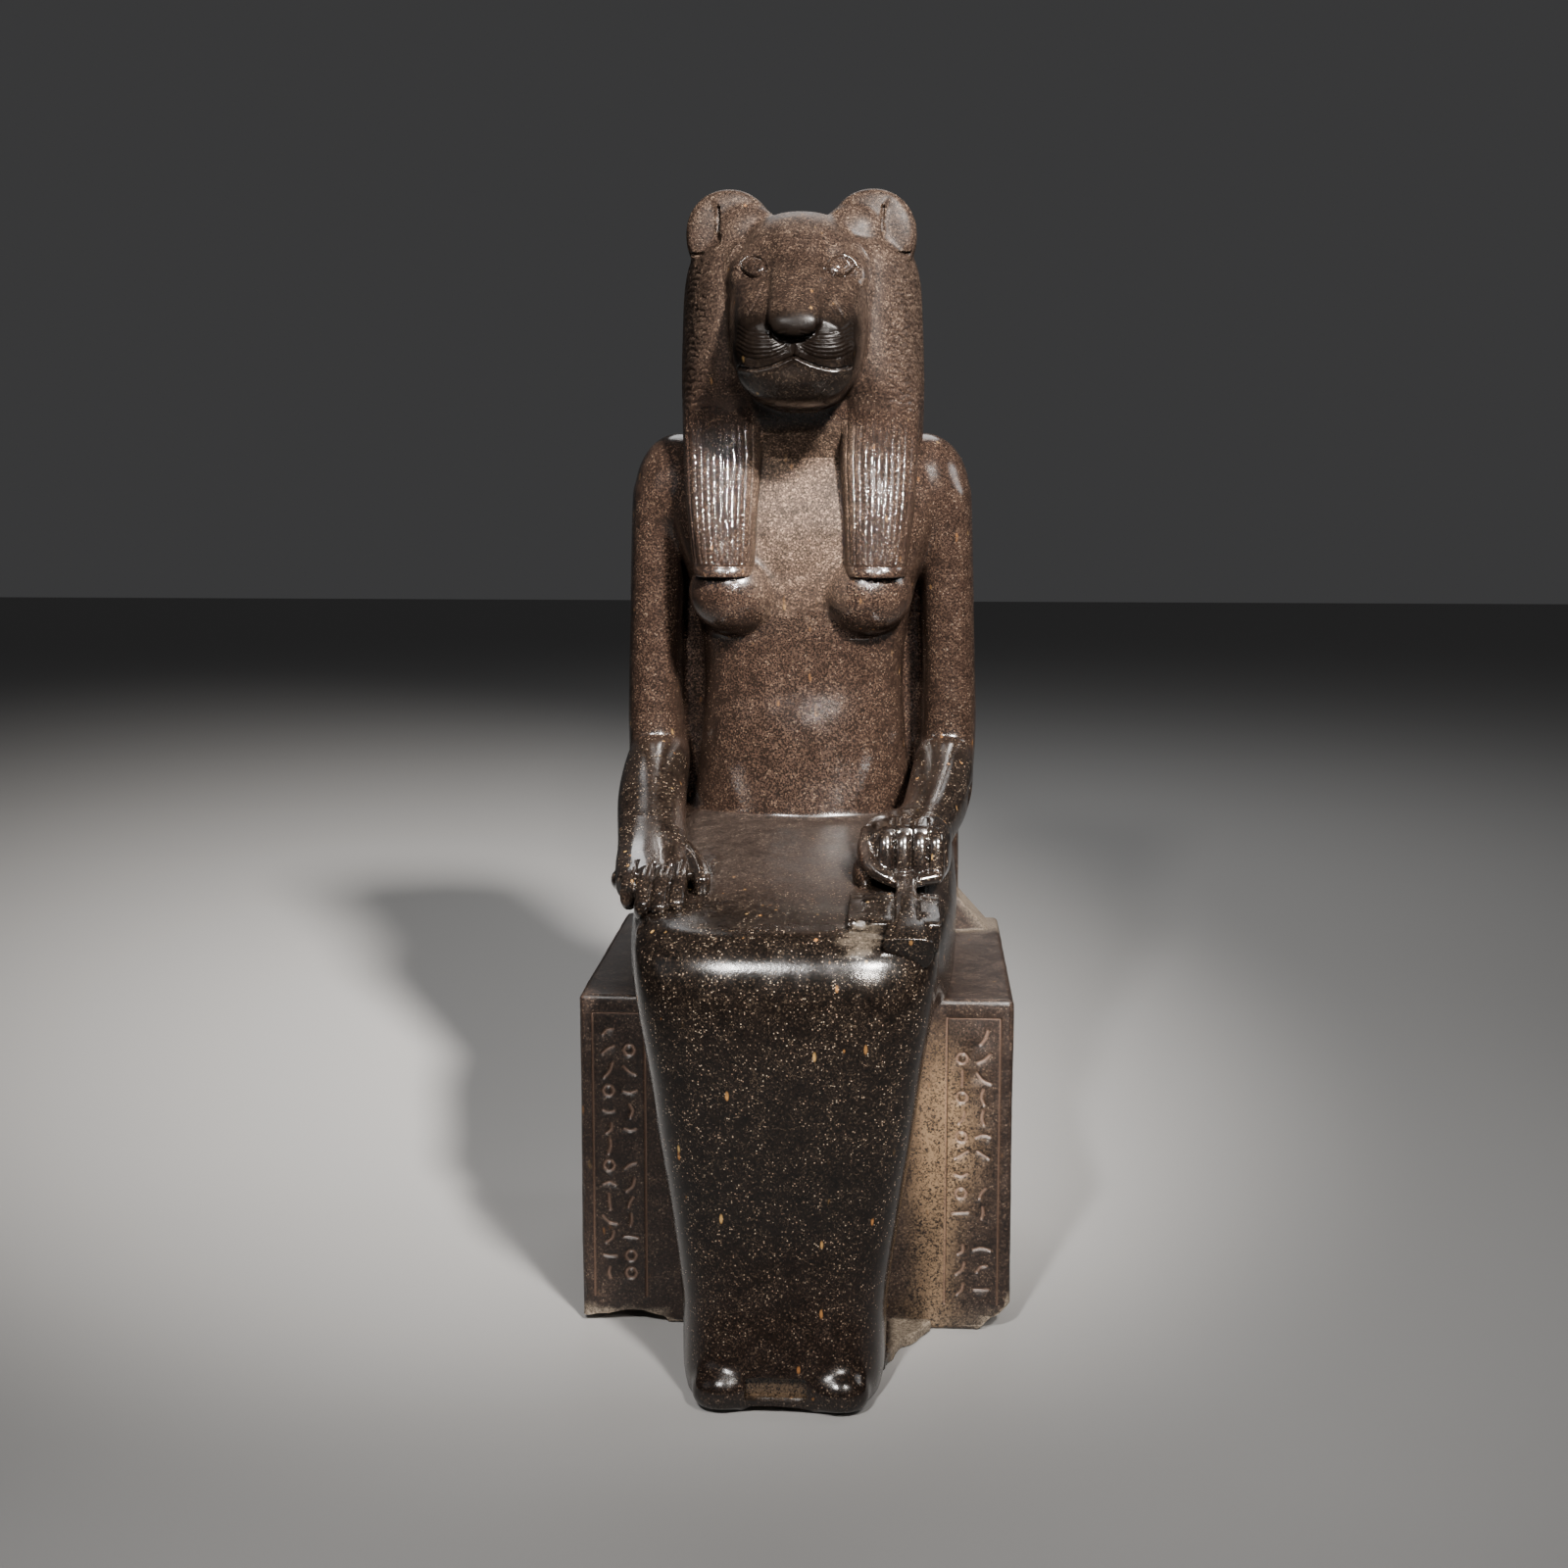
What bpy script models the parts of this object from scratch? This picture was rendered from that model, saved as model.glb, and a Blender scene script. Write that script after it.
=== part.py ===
"""Seated lion-headed goddess, carved with her block throne from one piece of dark granodiorite.

The model is in metres with +Z up. She faces -Y, and +X is on the viewer's right. Inside this script a
place is (x, forward, height): forward is measured from the back of the throne towards the viewer, height
from the broken underside. The figure's free forms are in units, and one unit is 1/172 of the figure's
height, 1 cm at the real size. The throne, the pillar and the carved panels are in metres.
"""

import math

import bmesh
import bpy
import numpy as np
from mathutils import Matrix, Vector

# Driving size of the figure
FIGURE_HEIGHT = 1.72  # from the break under the feet to the tops of the ears
UNIT = FIGURE_HEIGHT / 172

# Driving sizes of the throne
THRONE_WIDTH = 0.648
THRONE_DEPTH = 0.54
SEAT_HEIGHT = 0.513
THRONE_EDGE = 0.008  # worn rounding of the block's edges

# The low backrest, broken away at the viewer's right
BACKREST_WIDTH = 0.50
BACKREST_HEIGHT = 0.10
BACKREST_THICKNESS = 0.10

# The pillar behind the figure
PILLAR_WIDTH = 0.24
PILLAR_TOP = 1.60
PILLAR_THICKNESS = 0.08

# Framed columns of strokes on the throne's front
PANEL_WIDTH = 0.082
PANEL_INSET = 0.019  # from the throne's outer edge
PANEL_TOP_MARGIN = 0.027
PANEL_BOTTOM_MARGIN = 0.06
LINE_WIDTH = 0.005
LINE_DEPTH = 0.0035
STROKE_PITCH = 0.042
STROKE_WIDTH = 0.009

# Breaks along the throne's lower front edge
LEFT_BREAK_HEIGHT = 0.015
CORNER_BREAK_WIDTH = 0.05
CORNER_BREAK_HEIGHT = 0.045
BREAK_DEPTH = 0.05

# Ribs of the wig's two front lappets
LAPPET_RIBS = 8
RIB_DEPTH = 0.004

STONE_COLOUR = (0.060, 0.042, 0.034, 1.0)
STONE_ROUGHNESS = 0.35

# How far shapes that are joined or cut reach into or past each other
OVERLAP = 0.012

# The figure's midline, in units from the throne's, as she was carved a little to one side
MIDLINE = -0.6

# The places in units where the figure's body ends and its legs pass the seat and the throne's front
BODY_FRONT = 34
SEAT_LEVEL = 51.3
THRONE_FRONT = 54

# How far back the lappets reach into the wig
LAPPET_SUNK = 18

FORWARD = (0, -1, 0)
UP = (0, 0, 1)


def clear_scene():
    for thing in list(bpy.data.objects):
        bpy.data.objects.remove(thing)


def make_collection(name):
    made = bpy.data.collections.new(name)
    bpy.context.scene.collection.children.link(made)
    return made


def place(x, forward, height):
    """A point of the figure in metres. The thighs reach the throne's front and the shins its seat."""
    if forward < BODY_FRONT:
        depth = forward * UNIT
    elif forward < THRONE_FRONT:
        share = (forward - BODY_FRONT) / (THRONE_FRONT - BODY_FRONT)
        depth = BODY_FRONT * UNIT * (1 - share) + THRONE_DEPTH * share
    else:
        depth = THRONE_DEPTH + (forward - THRONE_FRONT) * UNIT
    if height < SEAT_LEVEL:
        up = SEAT_HEIGHT * height / SEAT_LEVEL
    else:
        up = SEAT_HEIGHT + (height - SEAT_LEVEL) * UNIT
    return Vector(((x + MIDLINE) * UNIT, -depth, up))


# Shapes


def new_object(name, bm, collection):
    bmesh.ops.recalc_face_normals(bm, faces=bm.faces)
    mesh = bpy.data.meshes.new(name)
    bm.to_mesh(mesh)
    bm.free()
    made = bpy.data.objects.new(name, mesh)
    collection.objects.link(made)
    return made


def skin(name, loops, collection):
    """A closed body through loops of points, each loop as long as the next."""
    bm = bmesh.new()
    loops = [[bm.verts.new(point) for point in loop] for loop in loops]
    around = len(loops[0])
    for one, two in zip(loops, loops[1:]):
        for i in range(around):
            j = (i + 1) % around
            bm.faces.new((one[i], one[j], two[j], two[i]))
    bm.faces.new(loops[0])
    bm.faces.new(loops[-1])
    return new_object(name, bm, collection)


def through(rows, steps):
    """The rows of numbers, with steps rows on one smooth curve from each to the next."""
    rows = np.array(rows, float)
    ends = np.vstack([2 * rows[0] - rows[1], rows, 2 * rows[-1] - rows[-2]])
    found = []
    for a, b, c, d in zip(ends, ends[1:], ends[2:], ends[3:]):
        for t in np.arange(steps) / steps:
            bend = (2 * a - 5 * b + 4 * c - d) * t**2 + (3 * b - a - 3 * c + d) * t**3
            found.append(b + 0.5 * ((c - a) * t + bend))
    found.append(rows[-1])
    return np.array(found)


def outline(half_side, half_front, half_back, squareness, around):
    """Points of a rounded outline: an ellipse at squareness 2, nearly a rectangle at 6."""
    turn = (np.arange(around) + 0.5) * 2 * math.pi / around
    c, s = np.cos(turn), np.sin(turn)
    side = half_side * np.sign(c) * np.abs(c) ** (2 / squareness)
    front = np.where(s > 0, half_front, half_back) * np.sign(s) * np.abs(s) ** (2 / squareness)
    return np.stack([side, front], axis=1)


def capped(rows, start, end, rings=3):
    """The rows with rings added at both ends that close them as half balls, start and end units long."""

    def cap(row, inner, length):
        away = row[:3] - inner[:3]
        away = away / np.linalg.norm(away)
        made = []
        for angle in 0.5 * math.pi * np.arange(1, rings + 1) / (rings + 0.35):
            extra = row.copy()
            extra[:3] += away * length * math.sin(angle)
            extra[3:6] *= math.cos(angle)
            made.append(extra)
        return made

    first = cap(rows[0], rows[1], start)[::-1] if start else []
    last = cap(rows[-1], rows[-2], end) if end else []
    return np.array(first + list(rows) + last)


def loft(name, rows, collection, around=16, steps=1, facing=FORWARD, along=None, start=0.0, end=0.0):
    """A body through rows of (x, forward, height, half side, half front, half back, squareness).

    facing is the way that a section's front points, and its side is square to that and to the path. With
    along, every section is square to that direction instead.
    """
    rows = capped(through(rows, steps), start, end)
    centres = np.array([place(*row[:3]) for row in rows])
    loops = []
    for centre, tangent, row in zip(centres, np.gradient(centres, axis=0), rows):
        path = Vector(along or tangent).normalized()
        front = (Vector(facing) - path * Vector(facing).dot(path)).normalized()
        side = path.cross(front)
        points = outline(*row[3:7], around) * UNIT
        loops.append([Vector(centre) + side * u + front * v for u, v in points])
    return skin(name, loops, collection)


def level(height, half_width, back, front, squareness=2.6, x=0.0):
    """One level section of an upright loft, between its back and front."""
    half = (front - back) / 2
    return (x, back + half, height, half_width, half, half, squareness)


def section(forward, half_width, bottom, top, squareness=3.0, x=0.0):
    """One upright section of a loft that runs forward, between its bottom and top."""
    half = (top - bottom) / 2
    return (x, forward, bottom + half, half_width, half, half, squareness)


def ball(name, centre, radii, collection, around=16):
    """A ball stretched to radii (side, forward, height) in units."""
    bm = bmesh.new()
    size = Matrix.Diagonal((*(radius * UNIT for radius in radii), 1))
    matrix = Matrix.Translation(place(*centre)) @ size
    bmesh.ops.create_uvsphere(bm, u_segments=around, v_segments=around // 2, radius=1, matrix=matrix)
    return new_object(name, bm, collection)


def block(name, low, high, collection, edge=0.0):
    """A box between two corners (x, forward, height) in metres, with its edges taken off."""
    low, high = Vector(low), Vector(high)
    centre, size = (low + high) / 2, high - low
    bm = bmesh.new()
    spot = Matrix.Translation((centre.x, -centre.y, centre.z))
    bmesh.ops.create_cube(bm, size=1, matrix=spot @ Matrix.Diagonal((*size, 1)))
    if edge:
        bmesh.ops.bevel(bm, geom=bm.edges[:], offset=edge, segments=2, profile=0.5, affect="EDGES")
    return new_object(name, bm, collection)


def prism(name, corners, back, front, collection):
    """A flat outline of (x, height) in metres, made solid from back to front."""
    loops = [[Vector((x, -forward, z)) for x, z in corners] for forward in (back, front)]
    return skin(name, loops, collection)


# Throne


def build_throne(forms):
    """The backrest, broken off in a slope at the viewer's right, and the pillar. The block is the base."""
    half = BACKREST_WIDTH / 2
    top = SEAT_HEIGHT + BACKREST_HEIGHT
    low = SEAT_HEIGHT - OVERLAP
    slope = [(THRONE_WIDTH / 2 - THRONE_EDGE, low), (half, SEAT_HEIGHT + 0.6 * BACKREST_HEIGHT)]
    corners = [(-half, low), *slope, (half - 0.3 * BACKREST_HEIGHT, top), (-half, top)]
    prism("backrest", corners, THRONE_EDGE, BACKREST_THICKNESS, forms)
    base = (-PILLAR_WIDTH / 2, THRONE_EDGE / 2, SEAT_HEIGHT - OVERLAP)
    block("pillar", base, (PILLAR_WIDTH / 2, PILLAR_THICKNESS, PILLAR_TOP), forms)


def cut_line(name, x, height, width, tall, cutters):
    """A shallow straight groove on the throne's front, from its lower left corner."""
    low = (x, THRONE_DEPTH - LINE_DEPTH, height)
    block(name, low, (x + width, THRONE_DEPTH + OVERLAP, height + tall), cutters)


def cut_panel(side, cutters):
    """A framed column of short strokes, which are marks and no letters. side is -1 or 1."""
    outer = THRONE_WIDTH / 2 - PANEL_INSET
    left = outer - PANEL_WIDTH if side > 0 else -outer
    bottom = PANEL_BOTTOM_MARGIN
    top = SEAT_HEIGHT - PANEL_TOP_MARGIN
    right = left + PANEL_WIDTH
    cut_line("panel_top", left, top - LINE_WIDTH, PANEL_WIDTH, LINE_WIDTH, cutters)
    cut_line("panel_left", left, bottom, LINE_WIDTH, top - bottom, cutters)
    cut_line("panel_right", right - LINE_WIDTH, bottom, LINE_WIDTH, top - bottom, cutters)
    rows = int((top - bottom) / STROKE_PITCH)
    for row in range(rows):
        height = top - LINE_WIDTH - (row + 0.75) * STROKE_PITCH
        count = 1 + row % 3
        room = (PANEL_WIDTH - 2 * LINE_WIDTH) / count
        for i in range(count):
            middle = left + LINE_WIDTH + (i + 0.5) * room
            flat = (row + i) % 2
            wide = min(0.6 * room, 3 * STROKE_WIDTH) if flat else STROKE_WIDTH
            tall = STROKE_WIDTH if flat else 0.5 * STROKE_PITCH
            cut_line("stroke", middle - wide / 2, height, wide, tall, cutters)


def cut_breaks(cutters):
    """The ragged lower edge of the throne's front, and its lost corner at the viewer's right."""
    half = THRONE_WIDTH / 2 + OVERLAP
    back, front = THRONE_DEPTH - BREAK_DEPTH, THRONE_DEPTH + OVERLAP
    low, rise = -OVERLAP, LEFT_BREAK_HEIGHT
    left = [(-half, low), (-0.29 * THRONE_WIDTH, low), (-0.30 * THRONE_WIDTH, 0.6 * rise)]
    left += [(-0.36 * THRONE_WIDTH, 1.4 * rise), (-0.44 * THRONE_WIDTH, 1.1 * rise), (-half, 0.4 * rise)]
    prism("left_break", left, back, front, cutters)
    wide, tall = CORNER_BREAK_WIDTH, CORNER_BREAK_HEIGHT
    corner = THRONE_WIDTH / 2
    right = [(half, low), (half, tall), (corner, tall), (corner - 0.35 * wide, 0.6 * tall)]
    right += [(corner - 0.7 * wide, 0.35 * tall), (corner - wide, 0.0), (corner - 1.1 * wide, low)]
    prism("corner_break", right, back - BREAK_DEPTH, front, cutters)


# Figure below the waist


def build_legs(forms):
    thighs = [
        section(8, 25, 46, 77, 3.2),
        section(28, 25, 46, 74, 3.4),
        section(45, 24.4, 46, 71.3, 4.0),
        section(56, 23.5, 48, 69.4, 4.2),
        section(64, 22.4, 52, 68.0, 4.2),
        section(70, 20.9, 55, 67.4, 3.8),
        section(75, 18.6, 57, 65.6, 3.2),
    ]
    loft("thighs", thighs, forms, around=24, facing=UP, along=FORWARD)
    shins = [
        level(0, 13.9, 50, 82.3, 3.8),
        level(2.4, 14.3, 50, 82.6, 3.8),
        level(5, 14.5, 50, 82.3, 3.7),
        level(9, 14.6, 50, 81.2, 3.6),
        level(14, 15.0, 50, 79.9, 3.6),
        level(25, 16.6, 50, 78.5, 3.6),
        level(36, 18.3, 50, 79.0, 3.6),
        level(46, 19.6, 50, 79.9, 3.6),
        level(54, 20.9, 50, 80.3, 3.6),
        level(59, 21.5, 50, 80.2, 3.5),
        level(62.6, 21.6, 50, 79.0, 3.4),
        level(64.9, 21.2, 50, 77.0, 3.2),
        level(66.3, 20.6, 50, 74.2, 3.1),
        level(67.1, 19.8, 50, 69.4, 3.0),
    ]
    loft("shins", shins, forms, around=24, along=UP)
    for side in (-1, 1):
        ball("instep", (side * 8.2, 80.6, 3.4), (4.4, 3.4, 3.3), forms, around=16)


def build_arms(forms):
    for side, closer in ((-1, 0.0), (1, 0.8)):
        middle = side * (20.2 - closer)
        ball("shoulder", (middle, 15.5, 125.0), (7.4, 8.6, 9.6), forms, around=16)
        upper = [
            (middle + side * 3.0, 15.3, 125.0, 4.7, 7.4, 7.2, 2.3),
            (middle + side * 3.6, 15.0, 118.0, 4.4, 7.2, 7.0, 2.4),
            (middle + side * 4.0, 14.6, 109.0, 4.3, 6.8, 6.6, 2.5),
            (middle + side * 4.3, 14.2, 98.0, 4.3, 6.5, 6.4, 2.5),
            (middle + side * 4.4, 14.0, 88.0, 4.5, 6.6, 6.6, 2.5),
            (middle + side * 4.1, 14.0, 80.5, 4.6, 6.6, 6.6, 2.5),
        ]
        loft("upper_arm", upper, forms, around=16, start=3.0, end=3.5)


def build_flat_hand_arm(forms):
    """The viewer's left forearm, with the hand laid flat and two finger ends broken."""
    forearm = [
        (-24.0, 11.0, 81.5, 4.8, 5.2, 5.6, 2.5),
        (-23.7, 22.0, 79.6, 5.2, 5.4, 5.6, 2.6),
        (-23.2, 32.0, 77.2, 5.4, 4.9, 5.4, 2.6),
        (-22.2, 41.0, 74.4, 5.3, 4.0, 4.8, 2.6),
        (-21.2, 48.0, 72.3, 5.3, 3.3, 3.8, 2.9),
        (-20.4, 55.0, 70.8, 5.5, 2.7, 3.0, 3.2),
        (-19.9, 60.0, 69.6, 5.2, 2.2, 3.0, 3.2),
    ]
    loft("left_forearm", forearm, forms, around=16, facing=UP, start=3.0)
    fingers = ((-15.7, 66.6, 67.2), (-18.1, 67.4, 66.6), (-20.6, 65.4, 67.0), (-23.0, 61.6, 68.4))
    for x, end, height in fingers:
        finger = [
            (x - 0.2, 55.0, 71.0, 1.2, 1.6, 2.2, 2.2),
            (x - 0.1, (54.0 + end) / 2, 70.1, 1.3, 1.5, 2.2, 2.2),
            (x, end - 1.0, height + 0.2, 1.2, 1.4, 2.2, 2.2),
        ]
        loft("finger", finger, forms, around=8, facing=UP, end=1.0)
    thumb = [
        (-16.6, 48.5, 72.2, 1.7, 1.7, 2.6, 2.2),
        (-14.3, 54.5, 71.5, 1.6, 1.7, 2.6, 2.2),
        (-12.6, 60.5, 70.3, 1.3, 1.3, 2.6, 2.2),
    ]
    loft("left_thumb", thumb, forms, around=8, facing=UP, end=1.2)


def build_fist_arm(forms):
    """The viewer's right forearm, with the fist closed on the ring of a life sign."""
    forearm = [
        (23.2, 11.0, 81.5, 4.6, 5.2, 5.6, 2.5),
        (22.8, 22.0, 79.8, 4.9, 5.4, 5.6, 2.6),
        (21.7, 32.0, 77.6, 4.8, 4.9, 5.4, 2.6),
        (20.2, 41.0, 75.8, 4.4, 4.1, 4.8, 2.6),
        (18.4, 47.5, 74.8, 4.8, 3.9, 4.8, 2.8),
    ]
    loft("right_forearm", forearm, forms, around=16, facing=UP, start=3.0)
    fist = [
        section(45.5, 4.8, 69.0, 78.2, 2.8, 17.8),
        section(49.5, 6.1, 68.8, 79.2, 3.0, 17.2),
        section(54.0, 6.5, 68.6, 79.0, 3.2, 17.0),
        section(57.0, 6.0, 69.2, 78.0, 3.0, 17.0),
    ]
    loft("fist", fist, forms, around=16, facing=UP, along=FORWARD, end=1.0)
    for x, top in ((13.9, 77.2), (16.4, 77.6), (18.9, 77.4), (21.2, 76.4)):
        roll = [
            (x, 56.8, 71.9, 1.2, 1.5, 1.5, 2.1),
            (x, 57.8, 74.2, 1.25, 1.6, 1.6, 2.1),
            (x, 56.6, top - 1.4, 1.2, 1.5, 1.5, 2.1),
        ]
        loft("knuckle_roll", roll, forms, around=8, start=0.9, end=1.0)
    thumb = [
        (11.4, 54.5, 76.6, 1.2, 1.3, 1.3, 2.1),
        (11.2, 57.2, 73.8, 1.2, 1.3, 1.3, 2.1),
        (13.2, 59.0, 71.4, 1.1, 1.2, 1.2, 2.1),
        (17.0, 59.6, 70.6, 1.0, 1.1, 1.1, 2.1),
        (21.4, 58.6, 71.2, 0.9, 0.9, 0.9, 2.1),
    ]
    loft("right_thumb", thumb, forms, around=8, start=0.8, end=0.8)
    ball("ring_side", (10.8, 55.5, 70.6), (1.8, 3.2, 2.6), forms, around=10)


def build_life_sign(forms):
    """The sign's crossbar and its broken stem, lying on the lap before the fist."""
    bar = [
        (9.4, 62.9, 66.6, 3.9, 2.2, 3.0, 4.5),
        (14.6, 62.9, 67.5, 3.9, 2.1, 3.0, 4.5),
        (18.4, 62.9, 67.6, 3.9, 2.1, 3.0, 4.5),
        (21.4, 62.9, 67.2, 3.9, 2.2, 3.0, 4.5),
    ]
    loft("crossbar", bar, forms, around=12, facing=UP)
    stem = [
        (16.8, 58.0, 69.6, 1.3, 1.8, 3.0, 4.0),
        (16.9, 65.0, 67.9, 1.5, 1.8, 3.4, 4.0),
        (17.2, 69.0, 66.2, 2.6, 1.7, 4.0, 4.0),
        (17.3, 72.6, 65.0, 3.1, 1.6, 4.4, 4.0),
    ]
    loft("stem", stem, forms, around=12, facing=UP)


# Figure above the waist


def build_torso(forms):
    torso = [
        level(62, 17.5, 4, 29.5),
        level(74, 17.3, 4, 28.6),
        level(81, 17.0, 4, 29.2),
        level(88, 16.6, 4, 28.9),
        level(95, 16.3, 4, 27.8),
        level(103, 16.8, 4, 28.4, 2.8),
        level(111, 18.4, 4, 29.8, 3.0),
        level(119, 20.8, 4, 29.8, 3.2),
        level(125, 22.2, 4, 28.4, 3.2),
        level(130, 21.6, 5, 26.4, 3.0),
        level(134, 18.8, 6, 23.4, 2.6),
        level(137.5, 12.0, 7, 20.0, 2.2),
    ]
    loft("torso", torso, forms, around=24, along=UP)
    for side in (-1, 1):
        ball("breast", (side * 10.6, 26.8, 109.6), (7.2, 6.9, 6.8), forms, around=18)
    web = [level(50, 26.0, 3, 12.5, 4.0), level(90, 25.4, 3, 12.0, 4.0), level(127, 22.6, 4, 12.0, 4.0)]
    loft("web", web, forms, around=12, along=UP)


def build_wig(forms):
    """The heavy wig, with the lion's mane and a ribbed lappet on each side of its front."""
    wig = [
        level(118.5, 18.2, 4.5, 23.0, 3.0),
        level(128.5, 18.9, 4, 25.0, 3.0),
        level(133.0, 19.2, 4, 27.5, 3.0),
        level(137.0, 19.3, 4, 30.0, 3.0),
        level(144, 19.3, 4, 30.8, 2.9),
        level(151.8, 19.0, 4, 30.4, 2.8),
        level(157.5, 18.4, 4, 29.6, 2.7),
        level(161.5, 17.0, 5, 29.0, 2.6),
        level(165, 14.0, 6.5, 28.0, 2.4),
        level(167.3, 9.0, 9.5, 26.0, 2.2),
    ]
    loft("wig", wig, forms, around=24, steps=2, along=UP)
    for side in (-1, 1):
        build_lappet(side, forms)


def build_lappet(side, forms):
    """A hanging lappet whose front is a row of upright ribs, and the plain mane that it comes from."""
    lappet = [
        (112.3, 7.0, 16.6, 24.0, 34.6, 2.4),
        (117.5, 6.8, 17.2, 24.0, 34.0, 2.4),
        (124.0, 6.5, 18.0, 24.0, 33.0, 2.4),
        (131.0, 6.1, 18.4, 23.0, 31.8, 2.4),
        (136.0, 6.3, 18.6, 21.0, 31.6, 2.3),
        (139.0, 5.6, 18.8, 17.0, 32.4, 2.2),
    ]
    loops = []
    for height, inner, outer, back, front, squareness in lappet:
        half = (outer - inner) / 2
        middle = (back + front) / 2
        points = []
        for i in range(2 * LAPPET_RIBS + 1):
            across = i / LAPPET_RIBS - 1
            roll = (1 - abs(across) ** squareness) ** (1 / squareness)
            groove = 0.0 if i % 2 else RIB_DEPTH / UNIT
            forward = middle + (front - middle - groove) * roll
            points.append(place(side * (inner + half + half * across), forward, height))
        points.append(place(side * outer, LAPPET_SUNK, height))
        points.append(place(side * inner, LAPPET_SUNK, height))
        loops.append(points)
    skin("lappet", loops, forms)
    mane = [
        (138.4, 5.9, 18.7, 17.8, 32.2, 2.2),
        (142.0, 3.6, 19.0, 11.0, 33.6, 2.1),
        (147.0, 1.6, 19.1, 7.0, 34.4, 2.0),
        (152.0, 1.0, 19.0, 5.4, 34.6, 2.0),
        (157.0, 1.0, 18.7, 5.6, 34.4, 2.0),
        (160.5, 1.5, 18.0, 6.4, 33.6, 2.0),
        (163.0, 2.5, 16.8, 8.0, 32.0, 2.0),
        (165.5, 3.5, 15.2, 10.4, 29.6, 2.0),
    ]
    levels = []
    for height, inner, outer, back, front, squareness in mane:
        levels.append(level(height, (outer - inner) / 2, back, front, squareness, side * (inner + outer) / 2))
    loft("mane", levels, forms, around=20, along=UP)


def build_head(forms):
    """The lion's head, from the mane's ruff to the nose and chin."""
    skull = [
        section(24, 10.0, 139.0, 166.8, 2.6),
        section(29, 10.8, 138.0, 168.2, 2.5),
        section(33, 10.8, 137.8, 167.2, 2.4),
        section(36, 10.4, 137.8, 165.0, 2.4),
        section(39, 9.9, 138.0, 161.0, 2.5),
        section(42, 9.4, 138.2, 156.8, 2.7),
        section(45, 8.8, 139.2, 152.6, 2.7),
        section(46.6, 7.8, 141.4, 150.4, 2.6),
    ]
    loft("skull", skull, forms, around=24, steps=2, facing=UP, along=FORWARD, end=0.6)
    bridge = [
        section(30, 5.6, 156.0, 168.0, 2.6),
        section(34, 5.2, 155.0, 167.0, 2.7),
        section(37.5, 4.8, 153.0, 164.4, 2.9),
        section(40, 4.5, 151.6, 161.2, 3.0),
        section(44, 4.4, 150.0, 157.0, 2.9),
        section(47.6, 4.7, 148.6, 153.6, 2.8),
        section(49.4, 4.7, 148.0, 152.2, 2.7),
    ]
    loft("bridge", bridge, forms, around=14, steps=2, facing=UP, along=FORWARD, end=1.2)
    for side in (-1, 1):
        ball("muzzle_pad", (side * 4.1, 43.0, 146.8), (5.2, 4.6, 3.9), forms, around=14)
        ball("eye", (side * 6.7, 37.0, 159.3), (2.2, 2.6, 1.9), forms, around=12)
        ball("ear_root", (side * 8.2, 27.4, 164.4), (5.4, 3.9, 5.2), forms, around=12)
    ball("chin", (0, 41.6, 142.2), (6.8, 4.2, 3.8), forms, around=14)


def build_ears(forms, cutters):
    """Round ears standing off the wig, each with a hollow beside its inner lobe."""
    for side in (-1, 1):
        ear = [
            (side * 10.9, 20.0, 164.3, 6.6, 6.8, 6.8, 2.1),
            (side * 11.0, 24.0, 164.7, 6.9, 7.1, 7.1, 2.1),
            (side * 11.1, 27.5, 164.8, 6.7, 7.0, 7.0, 2.1),
        ]
        loft("ear", ear, forms, around=20, facing=UP, along=FORWARD, start=3.0, end=1.6)
        hollow = [
            (side * 12.75, 28.6, 168.6, 0.5, 1.2, 1.2, 2.0),
            (side * 12.7, 28.6, 167.0, 0.6, 1.4, 1.4, 2.0),
            (side * 12.85, 28.6, 165.4, 0.5, 1.2, 1.2, 2.0),
        ]
        loft("ear_hollow", hollow, cutters, around=8, end=0.4, start=0.4)


def build_remnant(forms):
    """The thin stone left between the foot at the viewer's right and the throne, broken on top."""
    plan = [(12.0, 50.0), (21.5, 50.0), (21.0, 55.0), (18.5, 59.7), (15.8, 64.0), (14.4, 68.8), (12.0, 69.5)]
    loops = [[place(x, forward, height) for x, forward in plan] for height in (0.0, 1.6)]
    skin("remnant", loops, forms)


def cut_hem(cutters):
    """The recess between the insteps under the dress's hem, and the break below its sill."""
    low = place(-4.9, 81.0, 2.0)
    high = place(3.7, 92, 5.2)
    block("hem_recess", (low.x, -low.y, low.z), (high.x, -high.y, high.z), cutters)
    sill = [(-6.4, -1.2), (-4.4, 1.1), (2.6, 1.0), (6.2, -1.2)]
    loops = [[place(x, forward, height) for x, height in sill] for forward in (76, 92)]
    skin("sill_break", loops, cutters)


def cut_mouth(cutters):
    """The mouth's bent line under the muzzle pads."""
    for side in (-1, 1):
        line = [
            (side * 0.0, 47.2, 145.3, 0.3, 1.0, 1.0, 2.0),
            (side * 3.0, 47.2, 144.2, 0.3, 1.0, 1.0, 2.0),
            (side * 5.9, 46.2, 143.8, 0.3, 1.0, 1.0, 2.0),
            (side * 8.6, 43.4, 144.2, 0.3, 1.0, 1.0, 2.0),
        ]
        loft("mouth", line, cutters, around=6)


# Material and assembly


def make_stone():
    stone = bpy.data.materials.new("granodiorite")
    stone.use_nodes = True
    shader = stone.node_tree.nodes["Principled BSDF"]
    shader.inputs["Base Color"].default_value = STONE_COLOUR
    shader.inputs["Roughness"].default_value = STONE_ROUGHNESS
    shader.inputs["Metallic"].default_value = 0.0
    stone.diffuse_color = STONE_COLOUR
    return stone


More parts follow.
